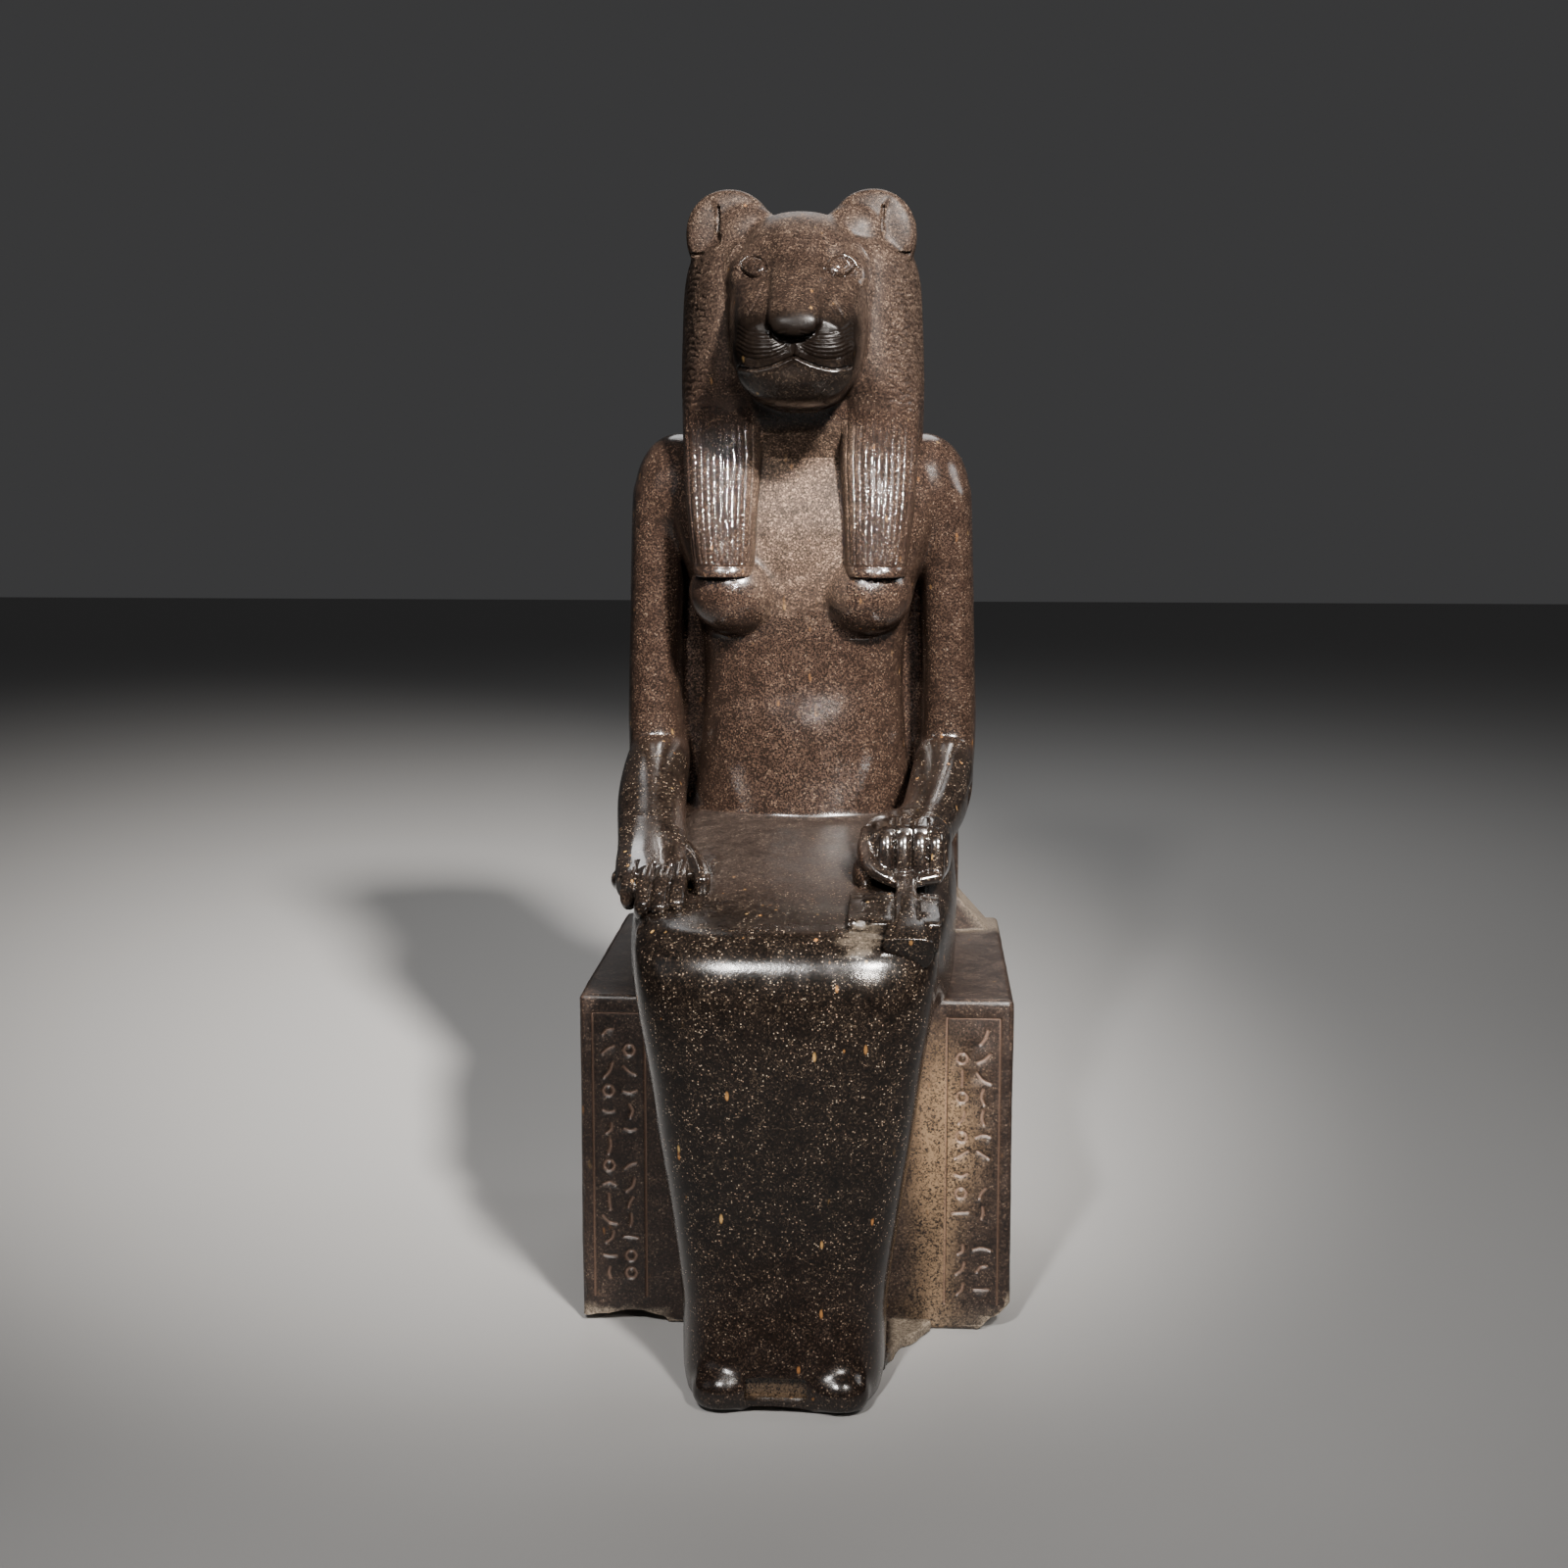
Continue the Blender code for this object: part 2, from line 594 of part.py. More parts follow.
def combine(base, collection, operation):
    boolean = base.modifiers.new(operation.lower(), "BOOLEAN")
    boolean.operation = operation
    boolean.operand_type = "COLLECTION"
    boolean.collection = collection
    boolean.solver = "EXACT"


def centre_on_ground(statue):
    """Bakes the joins and cuts into the mesh, with its box's centre over the origin and z = 0 below."""
    graph = bpy.context.evaluated_depsgraph_get()
    mesh = bpy.data.meshes.new_from_object(statue.evaluated_get(graph))
    statue.modifiers.clear()
    statue.data = mesh
    points = np.array([vertex.co for vertex in mesh.vertices])
    low, high = points.min(axis=0), points.max(axis=0)
    middle = (low + high) / 2
    mesh.transform(Matrix.Translation((-middle[0], -middle[1], -low[2])))


def main():
    clear_scene()
    parts = make_collection("seated_goddess")
    forms = make_collection("forms")
    cutters = make_collection("cutters")
    for helper in (forms, cutters):
        helper.hide_render = True

    half = THRONE_WIDTH / 2
    statue = block("statue", (-half, 0, 0), (half, THRONE_DEPTH, SEAT_HEIGHT), parts, edge=THRONE_EDGE)
    build_throne(forms)
    build_legs(forms)
    build_remnant(forms)
    build_arms(forms)
    build_flat_hand_arm(forms)
    build_fist_arm(forms)
    build_life_sign(forms)
    build_torso(forms)
    build_wig(forms)
    build_head(forms)
    build_ears(forms, cutters)
    for side in (-1, 1):
        cut_panel(side, cutters)
    cut_breaks(cutters)
    cut_hem(cutters)
    cut_mouth(cutters)
    for helper in (*forms.objects, *cutters.objects):
        helper.hide_render = True
        helper.display_type = "WIRE"

    combine(statue, forms, "UNION")
    combine(statue, cutters, "DIFFERENCE")
    centre_on_ground(statue)
    statue.data.materials.clear()
    statue.data.materials.append(make_stone())


main()
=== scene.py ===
"""The seated lion-headed goddess in polished granodiorite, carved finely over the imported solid.

Shapes are made in the figure's own units: (x, forward, height), 1 unit being 1 cm at the real size. x runs to
the viewer's right from the figure's midline, forward from the throne's back and height from the underside.
A mesh holds (x, -forward, height) until to_metres puts it in the frame.
"""

import math

import bpy
import numpy as np
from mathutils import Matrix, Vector


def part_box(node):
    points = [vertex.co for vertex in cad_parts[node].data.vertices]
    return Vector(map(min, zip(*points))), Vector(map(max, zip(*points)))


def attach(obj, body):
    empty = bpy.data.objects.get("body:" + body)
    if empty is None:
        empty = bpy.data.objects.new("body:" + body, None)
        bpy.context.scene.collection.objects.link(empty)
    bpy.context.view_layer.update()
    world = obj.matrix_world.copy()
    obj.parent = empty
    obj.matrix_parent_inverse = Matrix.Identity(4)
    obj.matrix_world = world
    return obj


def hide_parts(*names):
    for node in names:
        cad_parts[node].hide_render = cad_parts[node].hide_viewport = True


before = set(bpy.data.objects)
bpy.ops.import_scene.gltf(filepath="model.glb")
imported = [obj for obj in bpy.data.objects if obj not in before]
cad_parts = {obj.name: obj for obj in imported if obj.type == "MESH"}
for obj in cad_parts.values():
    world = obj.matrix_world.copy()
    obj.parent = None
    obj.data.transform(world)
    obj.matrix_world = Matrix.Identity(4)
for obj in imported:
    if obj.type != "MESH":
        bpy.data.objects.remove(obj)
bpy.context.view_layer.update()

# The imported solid's height in the figure's units, and how far the midline lies from the throne's middle
SOLID_HEIGHT = 171.72
MIDLINE = -0.6

THRONE_HALF = 32.4
THRONE_DEPTH = 54.0
SEAT_HEIGHT = 51.3

VOXEL_BODY = 0.3
VOXEL_HEAD = 0.18
VOXEL_HANDS = 0.14
TRIANGLES = {"body": 52000, "head": 92000, "hands": 26000, "throne": 17000}

FORWARD = np.array((0.0, -1.0, 0.0))
UP = np.array((0.0, 0.0, 1.0))

SHARP_ANGLE = 42
COLLAR_DEPTH = 0.045
RIB_DEPTH = 0.17
HAIR_DEPTH = 0.12
HAIR_ROWS = 25
WHISKERS = 7
STROKE_DEPTH = 0.30
STROKE_WIDTH = 0.7
PANEL_WIDTH = 7.9
FRAME_LINE = 0.42

LENS = 46.9
CAMERA_PLACE = (0.1535, -3.070, 1.334)
CAMERA_DOWN = 7.4
CAMERA_TURN = 3.3
CAMERA_SHIFT = -0.05


# Curves and closed shapes, as (points, faces)


def through(rows, steps):
    """The rows of numbers, with steps rows on one smooth curve from each to the next."""
    rows = np.array(rows, float)
    ends = np.vstack([2 * rows[0] - rows[1], rows, 2 * rows[-1] - rows[-2]])
    found = []
    for a, b, c, d in zip(ends, ends[1:], ends[2:], ends[3:]):
        for t in np.arange(steps) / steps:
            bend = (2 * a - 5 * b + 4 * c - d) * t**2 + (3 * b - a - 3 * c + d) * t**3
            found.append(b + 0.5 * ((c - a) * t + bend))
    found.append(rows[-1])
    return np.array(found)


def outline(half_side, half_front, half_back, squareness, around):
    """Points of a rounded outline: an ellipse at squareness 2, nearly a rectangle at 6."""
    turn = (np.arange(around) + 0.5) * 2 * math.pi / around
    c, s = np.cos(turn), np.sin(turn)
    side = half_side * np.sign(c) * np.abs(c) ** (2 / squareness)
    front = np.where(s > 0, half_front, half_back) * np.sign(s) * np.abs(s) ** (2 / squareness)
    return np.stack([side, front], axis=1)


def cap(row, inner, length, rings=8):
    """Rows beyond row that close it as a half ball, length units long."""
    away = row[:3] - inner[:3]
    away = away / np.linalg.norm(away)
    made = []
    for angle in 0.5 * math.pi * np.arange(1, rings + 1) / (rings + 0.35):
        extra = row.copy()
        extra[:3] += away * length * math.sin(angle)
        extra[3:6] *= math.cos(angle)
        made.append(extra)
    return made


def skin(loops):
    """A closed body through loops of points, each loop as long as the next."""
    loops = np.array(loops, float)
    count, around = loops.shape[:2]
    ids = np.arange(count * around).reshape(count, around)
    turned = np.roll(ids, -1, axis=1)
    quads = np.stack([ids[:-1], turned[:-1], turned[1:], ids[1:]], axis=-1).reshape(-1, 4)
    faces = quads.tolist() + [ids[0, ::-1].tolist(), ids[-1].tolist()]
    return loops.reshape(-1, 3), faces


def loft(rows, around=48, steps=6, facing=FORWARD, along=None, start=0.0, end=0.0):
    """A body through rows of (x, forward, height, half side, half front, half back, squareness).

    facing is the way that a section's front points. With along, each section is square to that direction.
    """
    rows = through(rows, steps)
    first = cap(rows[0], rows[1], start)[::-1] if start else []
    last = cap(rows[-1], rows[-2], end) if end else []
    rows = np.array(first + list(rows) + last)
    centres = rows[:, :3] * (1, -1, 1)
    loops = []
    for centre, tangent, row in zip(centres, np.gradient(centres, axis=0), rows):
        path = tangent if along is None else along
        path = path / np.linalg.norm(path)
        front = facing - path * facing.dot(path)
        front = front / np.linalg.norm(front)
        side = np.cross(path, front)
        points = outline(*row[3:7], around)
        loops.append(centre + points[:, :1] * side + points[:, 1:] * front)
    return skin(loops)


def level(height, half_width, back, front, squareness=2.6, x=0.0):
    """One level section of an upright loft, between its back and front."""
    half = (front - back) / 2
    return (x, back + half, height, half_width, half, half, squareness)


def section(forward, half_width, bottom, top, squareness=3.0, x=0.0):
    """One upright section of a loft that runs forward, between its bottom and top."""
    half = (top - bottom) / 2
    return (x, forward, bottom + half, half_width, half, half, squareness)


def ball(centre, radii, around=40):
    """A ball stretched to radii (side, forward, height)."""
    rings = around // 2
    loops = []
    for angle in math.pi * (np.arange(rings) + 0.5) / rings:
        side, depth = (radius * math.sin(angle) for radius in radii[:2])
        ring = outline(side, depth, depth, 2, around)
        height = np.full(around, centre[2] - radii[2] * math.cos(angle))
        loops.append(np.stack([centre[0] + ring[:, 0], -centre[1] - ring[:, 1], height], axis=1))
    return skin(loops)


def grid_block(xs, forwards, heights, edge):
    """A block's skin on the grid of the given coordinates, with its edges rounded to radius edge."""
    axes = [np.array(xs, float), -np.array(forwards, float)[::-1], np.array(heights, float)]
    points, faces, count = [], [], 0
    for axis in range(3):
        others = [(axis + 1) % 3, (axis + 2) % 3]
        one, two = axes[others[0]], axes[others[1]]
        for place, flip in ((axes[axis][0], True), (axes[axis][-1], False)):
            patch = np.empty((len(one), len(two), 3))
            patch[..., axis] = place
            patch[..., others[0]] = one[:, None]
            patch[..., others[1]] = two[None, :]
            ids = count + np.arange(len(one) * len(two)).reshape(len(one), len(two))
            quads = np.stack([ids[:-1, :-1], ids[1:, :-1], ids[1:, 1:], ids[:-1, 1:]], axis=-1).reshape(-1, 4)
            faces.append(quads[:, ::-1] if flip else quads)
            points.append(patch.reshape(-1, 3))
            count += patch.shape[0] * patch.shape[1]
    points, faces = np.vstack(points), np.vstack(faces)
    _, first, index = np.unique(np.round(points, 5), axis=0, return_index=True, return_inverse=True)
    points, faces = points[first], index.reshape(-1)[faces]
    low = np.array([axis[0] for axis in axes]) + edge
    high = np.array([axis[-1] for axis in axes]) - edge
    inner = np.clip(points, low, high)
    away = points - inner
    length = np.linalg.norm(away, axis=1, keepdims=True)
    reach = np.abs(away).max(axis=1, keepdims=True)
    points = inner + away / np.maximum(length, 1e-9) * reach
    return points, faces.tolist()


# Meshes


def make(name, shapes):
    """One object of all the shapes."""
    points, faces, count = [], [], 0
    for some, sides in shapes:
        points.append(some)
        faces += [[i + count for i in side] for side in sides]
        count += len(some)
    mesh = bpy.data.meshes.new(name)
    mesh.from_pydata(np.vstack(points), [], faces)
    made = bpy.data.objects.new(name, mesh)
    bpy.context.scene.collection.objects.link(made)
    return made


def bake(obj, kind, **settings):
    """Puts one modifier's result into the mesh."""
    modifier = obj.modifiers.new(kind.lower(), kind)
    for key, value in settings.items():
        setattr(modifier, key, value)
    graph = bpy.context.evaluated_depsgraph_get()
    mesh = bpy.data.meshes.new_from_object(obj.evaluated_get(graph))
    obj.modifiers.clear()
    old = obj.data
    obj.data = mesh
    bpy.data.meshes.remove(old)


def read(obj, what="co"):
    found = np.empty(len(obj.data.vertices) * 3)
    obj.data.vertices.foreach_get(what, found)
    return found.reshape(-1, 3)


def write(obj, points):
    obj.data.vertices.foreach_set("co", points.ravel())
    obj.data.update()


def smooth(obj, weights, rounds):
    """Rounds the mesh off, each point by its weight from 0 to 1 at each round."""
    ends = np.empty(len(obj.data.edges) * 2, np.int32)
    obj.data.edges.foreach_get("vertices", ends)
    ends = ends.reshape(-1, 2)
    one = np.concatenate([ends[:, 0], ends[:, 1]])
    two = np.concatenate([ends[:, 1], ends[:, 0]])
    points = read(obj)
    degree = np.bincount(one, minlength=len(points))[:, None]
    for _ in range(rounds):
        mean = np.stack([np.bincount(one, points[two, i], len(points)) for i in range(3)], axis=1) / degree
        points += (mean - points) * (0.5 * weights[:, None])
    write(obj, points)


def thin_out(obj, triangles):
    """Takes points away where the surface is plain, down to the given number of triangles."""
    count = sum(len(face.vertices) - 2 for face in obj.data.polygons)
    bake(obj, "TRIANGULATE")
    bake(obj, "DECIMATE", ratio=min(1, triangles / count))


def combine(obj, others, operation):
    """Joins the others to the object, or cuts them from it, and deletes them."""
    helpers = bpy.data.collections.new("helpers")
    for other in others:
        helpers.objects.link(other)
    bake(obj, "BOOLEAN", operation=operation, operand_type="COLLECTION", collection=helpers, solver="MANIFOLD")
    for other in others:
        bpy.data.objects.remove(other)
    bpy.data.collections.remove(helpers)


# Carving


def noise(points, size, seed):
    """Smooth random values from -1 to 1 that change over about size units."""
    spot = points / size + seed * 17.31
    cell = np.floor(spot).astype(np.int64)
    part = spot - cell
    part = part * part * (3 - 2 * part)
    total = np.zeros(len(points))
    for corner in range(8):
        bits = np.array([corner & 1, corner >> 1 & 1, corner >> 2])
        key = cell + bits
        mixed = (key[:, 0] * 73856093) ^ (key[:, 1] * 19349663) ^ (key[:, 2] * 83492791)
        mixed = ((mixed ^ (mixed >> 13)) * 1274126177) & 0x7FFFFFFF
        mixed = mixed ^ (mixed >> 15)
        value = (mixed % 65536) / 32768 - 1
        total += value * np.prod(np.where(bits, part, 1 - part), axis=1)
    return total


def ramp(values, low, high):
    """0 below low, 1 above high, and smooth between. It runs the other way if high is below low."""
    share = np.clip((values - low) / (high - low), 0, 1)
    return share * share * (3 - 2 * share)


def between(values, low, full, still, high):
    """1 from full to still, falling smoothly to 0 at low and at high."""
    return ramp(values, low, full) * ramp(values, high, still)


def gap_to(points, line):
    """Each flat point's distance from a chain of straight segments."""
    best = np.full(len(points), 1e9)
    for a, b in zip(line, line[1:]):
        along = b - a
        share = np.clip(((points - a) @ along) / max(along @ along, 1e-9), 0, 1)
        best = np.minimum(best, np.linalg.norm(points - a - share[:, None] * along, axis=1))
    return best


def groove(flat, line, width, steps=6):
    """1 along a smooth line through the flat points given, and 0 further than half its width from it."""
    line = through(line, steps) if len(line) > 2 else np.array(line, float)
    low, high = line.min(axis=0) - width, line.max(axis=0) + width
    near = np.flatnonzero(((flat > low) & (flat < high)).all(axis=1))
    found = np.zeros(len(flat))
    if len(near):
        found[near] = ramp(gap_to(flat[near], line), width / 2, width * 0.1)
    return found


def mound(flat, centre, radii):
    """1 at the centre of an oval, falling smoothly to 0 at its edge."""
    share = (((flat - centre) / radii) ** 2).sum(axis=1)
    return np.clip(1 - share, 0, 1) ** 2


def onto_ground(points):
    """The points with all that lies below the ground pressed up to it."""
    low = min(points[:, 2].min(), 0)
    points[:, 2] = np.where(points[:, 2] < 1, 1 - (1 - points[:, 2]) / (1 - low), points[:, 2])
    return points


# The body, from feet to shoulders, with both arms


def leg_shapes():
    thighs = [
        section(8, 25, 46, 77, 3.2),
        section(28, 25, 46, 74, 3.4),
        section(45, 24.4, 46, 71.3, 4),
        section(56, 23.5, 48, 69.4, 4.2),
        section(64, 22.4, 52, 68, 4.2),
        section(70, 20.9, 55, 67.4, 3.8),
        section(75, 18.6, 57, 65.6, 3.2),
    ]
    shins = [
        level(-1, 13.5, 50, 82.2, 3.8),
        level(2.4, 14.3, 50, 82.6, 3.8),
        level(5, 14.5, 50, 82.3, 3.7),
        level(9, 14.6, 50, 81.2, 3.6),
        level(14, 15, 50, 79.9, 3.6),
        level(25, 16.6, 50, 78.5, 3.6),
        level(36, 18.3, 50, 79, 3.6),
        level(46, 19.6, 50, 79.9, 3.6),
        level(54, 20.9, 50, 80.3, 3.6),
        level(59, 21.5, 50, 80.2, 3.5),
        level(62.6, 21.6, 50, 79, 3.4),
        level(64.9, 21.2, 50, 77, 3.2),
        level(66.3, 20.6, 50, 74.2, 3.1),
        level(67.1, 19.8, 50, 69.4, 3),
    ]
    made = [loft(thighs, 96, facing=UP, along=FORWARD), loft(shins, 96, along=UP)]
    for side in (-1, 1):
        made.append(ball((side * 8.2, 80.6, 2.6), (4.4, 3.4, 3.4)))
    return made


def arm_shapes():
    made = []
    for side, closer in ((-1, 0), (1, 0.8)):
        middle = side * (20.2 - closer)
        made.append(ball((middle, 15.5, 125), (7.4, 8.6, 9.6)))
        upper = [
            (middle + side * 3, 15.3, 125, 4.7, 7.4, 7.2, 2.3),
            (middle + side * 3.6, 15, 118, 4.4, 7.2, 7, 2.4),
            (middle + side * 4, 14.6, 109, 4.3, 6.8, 6.6, 2.5),
            (middle + side * 4.3, 14.2, 98, 4.3, 6.5, 6.4, 2.5),
            (middle + side * 4.4, 14, 88, 4.5, 6.6, 6.6, 2.5),
            (middle + side * 4.1, 14, 80.5, 4.6, 6.6, 6.6, 2.5),
        ]
        made.append(loft(upper, start=3, end=3.5))
    return made


FLAT_FOREARM = [
    (-24, 11, 81.5, 4.8, 5.2, 5.6, 2.5),
    (-23.7, 22, 79.6, 5.2, 5.4, 5.6, 2.6),
    (-23.2, 32, 77.2, 5.4, 4.9, 5.4, 2.6),
    (-22.2, 41, 74.4, 5.3, 4, 4.8, 2.6),
    (-21.2, 48, 72.3, 5.3, 3.3, 3.8, 2.9),
    (-20.4, 55, 70.8, 5.5, 2.7, 3, 3.2),
    (-19.9, 60, 69.6, 5.2, 2.2, 3, 3.2),
]
FIST_FOREARM = [
    (23.2, 11, 81.5, 4.6, 5.2, 5.6, 2.5),
    (22.8, 22, 79.8, 4.9, 5.4, 5.6, 2.6),
    (21.7, 32, 77.6, 4.8, 4.9, 5.4, 2.6),
    (20.2, 41, 75.8, 4.4, 4.1, 4.8, 2.6),
    (18.4, 47.5, 74.8, 4.8, 3.9, 4.8, 2.8),
]
WRIST = 44.0


def forearm(rows, before):
    """A forearm that gives way to its hand's finer piece at the wrist, or that piece's end of it."""
    rows = through(rows, 6)
    if before:
        slack = 0.28 * ramp(rows[:, 1], WRIST - 1, WRIST + 3.5)
    else:
        slack = 0.28 * ramp(rows[:, 1], WRIST + 1, WRIST - 3.5)
        slack, rows = slack[rows[:, 1] > WRIST - 7], rows[rows[:, 1] > WRIST - 7]
    rows[:, 3:6] -= slack[:, None]
    return loft(rows, 64, 1, facing=UP, start=3.0 if before else 0)


def flat_hand_shapes():
    """The hand laid flat at the viewer's left, with two finger ends to be broken off."""
    made = [forearm(FLAT_FOREARM, False)]
    fingers = ((-15.7, 66.6, 67.2), (-18.1, 67.4, 66.8), (-20.6, 67, 67), (-23, 64, 68))
    for x, end, height in fingers:
        finger = [
            (x - 0.3, 52, 71.4, 1.2, 1.6, 2.6, 2.4),
            (x - 0.2, 57, 70.9, 1.26, 1.6, 2.8, 2.4),
            (x - 0.1, (57.0 + end) / 2, 70.1, 1.26, 1.5, 2.8, 2.4),
            (x, end - 1, height + 0.4, 1.2, 1.4, 2.8, 2.4),
        ]
        made.append(loft(finger, 36, facing=UP, end=1))
    thumb = [
        (-16.6, 48.5, 72.2, 1.7, 1.7, 2.6, 2.2),
        (-14.3, 54.5, 71.5, 1.6, 1.7, 2.6, 2.2),
        (-12.8, 59.5, 70.6, 1.35, 1.4, 2.6, 2.2),
        (-12.4, 61.4, 70.1, 1.2, 1.2, 2.6, 2.2),
    ]
    made.append(loft(thumb, 36, facing=UP, end=0.8))
    made.append(ball((-25.3, 57.5, 69.6), (0.9, 1.9, 1.4)))
    return made


def fist_shapes():
    """The fist at the viewer's right, closed on the ring of a life sign."""
    fist = [
        section(45.5, 4.8, 69, 78.2, 2.8, 17.8),
        section(49.5, 6.1, 68.8, 79.2, 3, 17.2),
        section(54, 6.5, 68.6, 79, 3.2, 17),
        section(57, 6, 69.2, 78, 3, 17),
    ]
    made = [forearm(FIST_FOREARM, False), loft(fist, 64, facing=UP, along=FORWARD, end=1)]
    for x, top in ((13.9, 77.2), (16.4, 77.6), (18.9, 77.4), (21.2, 76.4)):
        roll = [
            (x, 57.9, 70.9, 1.25, 1.5, 1.5, 2.6),
            (x, 57.6, 73.2, 1.28, 1.6, 1.6, 2.6),
            (x, 56.7, 75.8, 1.25, 1.6, 1.6, 2.6),
            (x, 54.2, top + 0.2, 1.1, 1.3, 1.5, 2.4),
        ]
        made.append(loft(roll, 36, start=0.9, end=1))
    thumb = [
        (11.4, 54.5, 76.6, 1.2, 1.3, 1.3, 2.1),
        (11, 57.2, 73.8, 1.2, 1.4, 1.3, 2.1),
        (12.6, 59.2, 71.6, 1.1, 1.3, 1.2, 2.1),
        (16.4, 60.2, 70.4, 1, 1.2, 1.1, 2.1),
        (21.4, 59.2, 70.9, 0.9, 1, 0.9, 2.1),
    ]
    made.append(loft(thumb, 36, start=0.8, end=0.8))
    made.append(ball((10.8, 55.5, 70.6), (1.8, 3.2, 2.6)))
    return made


def sign_shapes():
    """The sign's crossbar and its broken stem, one sloping slab on the lap before the fist."""
    slope = np.array((0.0, -0.233, 0.972))
    bar = [
        (8.9, 69.2, 67.7, 4.9, 1.1, 4, 6),
        (13.6, 69.3, 67.9, 5, 1.1, 4, 6),
        (18.4, 69.3, 67.9, 5, 1.1, 4, 6),
        (21.6, 69.2, 67.7, 4.9, 1.1, 4, 6),
    ]
    stem = [
        (16.9, 57.5, 70.6, 1.5, 1.3, 3, 4),
        (16.9, 64, 69.3, 1.5, 1.2, 3.4, 4),
        (17, 70.5, 67.8, 1.6, 1.2, 4, 4),
        (17.2, 74.2, 66.6, 3, 1.3, 4.2, 3.4),
        (17.3, 77.2, 65, 3.5, 1.5, 4.4, 3),
    ]
    return [loft(bar, 64, facing=slope), loft(stem, 64, facing=UP)]


def torso_shapes():
    torso = [
        level(62, 18.6, 4, 30.4, 2.1),
        level(74, 18.2, 4, 30, 2.1),
        level(81, 17.2, 4, 29.3, 2.1),
        level(88, 16.6, 4, 28.9, 2.2),
        level(95, 16.3, 4, 27.8, 2.4),
        level(103, 16.8, 4, 28.4, 2.7),
        level(111, 18.4, 4, 29.8, 3),
        level(119, 20.8, 4, 29.8, 3.2),
        level(125, 22.2, 4, 28.4, 3.2),
        level(130, 21.6, 5, 26.4, 3),
        level(134, 18.8, 6, 23.4, 2.6),
        level(137.5, 12, 7, 20, 2.2),
    ]
    made = [loft(torso, 96, along=UP)]
    for side in (-1, 1):
        made.append(ball((side * 10.6, 26.8, 109.6), (7.2, 6.9, 6.8)))
    web = [level(50, 26, 3, 12.5, 4), level(90, 25.4, 3, 12, 4), level(127, 22.6, 4, 12, 4)]
    made.append(loft(web, along=UP))
    return made


def carve_collar(points, flat, front):
    """Faint rows of a broad collar on the chest between the lappets."""
    cut = np.zeros(len(points))
    for height in (128, 124.9, 121.1, 116.5, 112.7, 110):
        row = [(-8, height + 0.5), (0, height), (8, height + 0.5)]
        cut = np.maximum(cut, groove(flat, row, 0.5))
    return cut * ramp(front, 0.3, 0.6) * ramp(-points[:, 1], 24, 26) * COLLAR_DEPTH


def make_body():
    shapes = leg_shapes() + arm_shapes() + torso_shapes()
    shapes += [forearm(FLAT_FOREARM, True), forearm(FIST_FOREARM, True)]
    body = make("body", shapes)
    bake(body, "REMESH", mode="VOXEL", voxel_size=VOXEL_BODY)
    points = read(body)
    x, forward, height = points[:, 0], -points[:, 1], points[:, 2]
    smooth(body, np.full(len(points), 1.0), 26)
    bosom = between(height, 97, 101, 109, 112) * ramp(forward, 22, 25) * ramp(np.abs(x), 20, 17)
    feet = ramp(height, 12, 7) * ramp(forward, 66, 74) * 0.7
    smooth(body, np.maximum(0.4 * bosom, feet), 30)
    points = read(body)
    normals = read(body, "normal")
    cut = carve_collar(points, points[:, [0, 2]], -normals[:, 1])
    uneven = 0.05 * noise(points, 9, 1) + 0.018 * noise(points, 3.1, 2)
    points += normals * (uneven - cut)[:, None]
    write(body, onto_ground(points))
    thin_out(body, TRIANGLES["body"])
    return body


def carve_hands(points, top, front):
    """Lines between the fingers, the nails, and the double border of the sign's crossbar."""
    above = points[:, [0, 1]] * (1, -1)
    facing = points[:, [0, 2]]
    forward = -points[:, 1]
    up = ramp(top, 0, 0.35)
    fore = ramp(front, 0, 0.35)
    cut = np.zeros(len(points))
    seen = np.maximum(up, fore)
    for x in (-17, -19.6, -22.1):
        line = groove(above, [(x - 0.1, 58.6), (x, 62.5), (x + 0.1, 68)], 0.5)
        cut = np.maximum(cut, 0.32 * line * seen)
    near = between(forward, 52, 53.5, 59.9, 61)
    for x in (15.15, 17.65, 20.05):
        line = groove(facing, [(x, 72.2), (x, 75), (x, 78.6)], 0.5)
        cut = np.maximum(cut, 0.42 * line * near * seen)
    for x, end in ((-15.6, 66.8), (-18.2, 67.6)):
        half = [(0.75, end + 0.2), (0.7, end - 1.3)]
        nail = [(x - u, v) for u, v in half] + [(x, end - 1.8)] + [(x + u, v) for u, v in half[::-1]]
        cut = np.maximum(cut, 0.08 * groove(above, nail, 0.3) * up)
    bar = ramp(forward, 63, 63.8) * ramp(points[:, 0], 8.6, 9.2)
    for line in (65.6, 67):
        for low, high in ((9.6, 15.2), (18.3, 21.4)):
            border = groove(above, [(low, line), (high, line)], 0.42)
            cut = np.maximum(cut, 0.16 * border * up * bar)
    for x, end in ((15.2, 73.6), (18.7, 73.6)):
        cut = np.maximum(cut, 0.24 * groove(above, [(x, 60.5), (x, end)], 0.5) * up)
    return cut


def make_hands():
    hands = make("hands", flat_hand_shapes() + fist_shapes() + sign_shapes())
    bake(hands, "REMESH", mode="VOXEL", voxel_size=VOXEL_HANDS)
    points = read(hands)
    wrists = ramp(-points[:, 1], 50, 46)
    smooth(hands, 0.22 + 0.78 * wrists, 14)
    points = read(hands)
    normals = read(hands, "normal")
    cut = carve_hands(points, normals[:, 2], -normals[:, 1])
    uneven = 0.03 * noise(points, 4, 11) + 0.008 * noise(points, 1.3, 12)
    write(hands, points + normals * (uneven - cut)[:, None])
    thin_out(hands, TRIANGLES["hands"])
    return hands


# The head, the ears and the wig


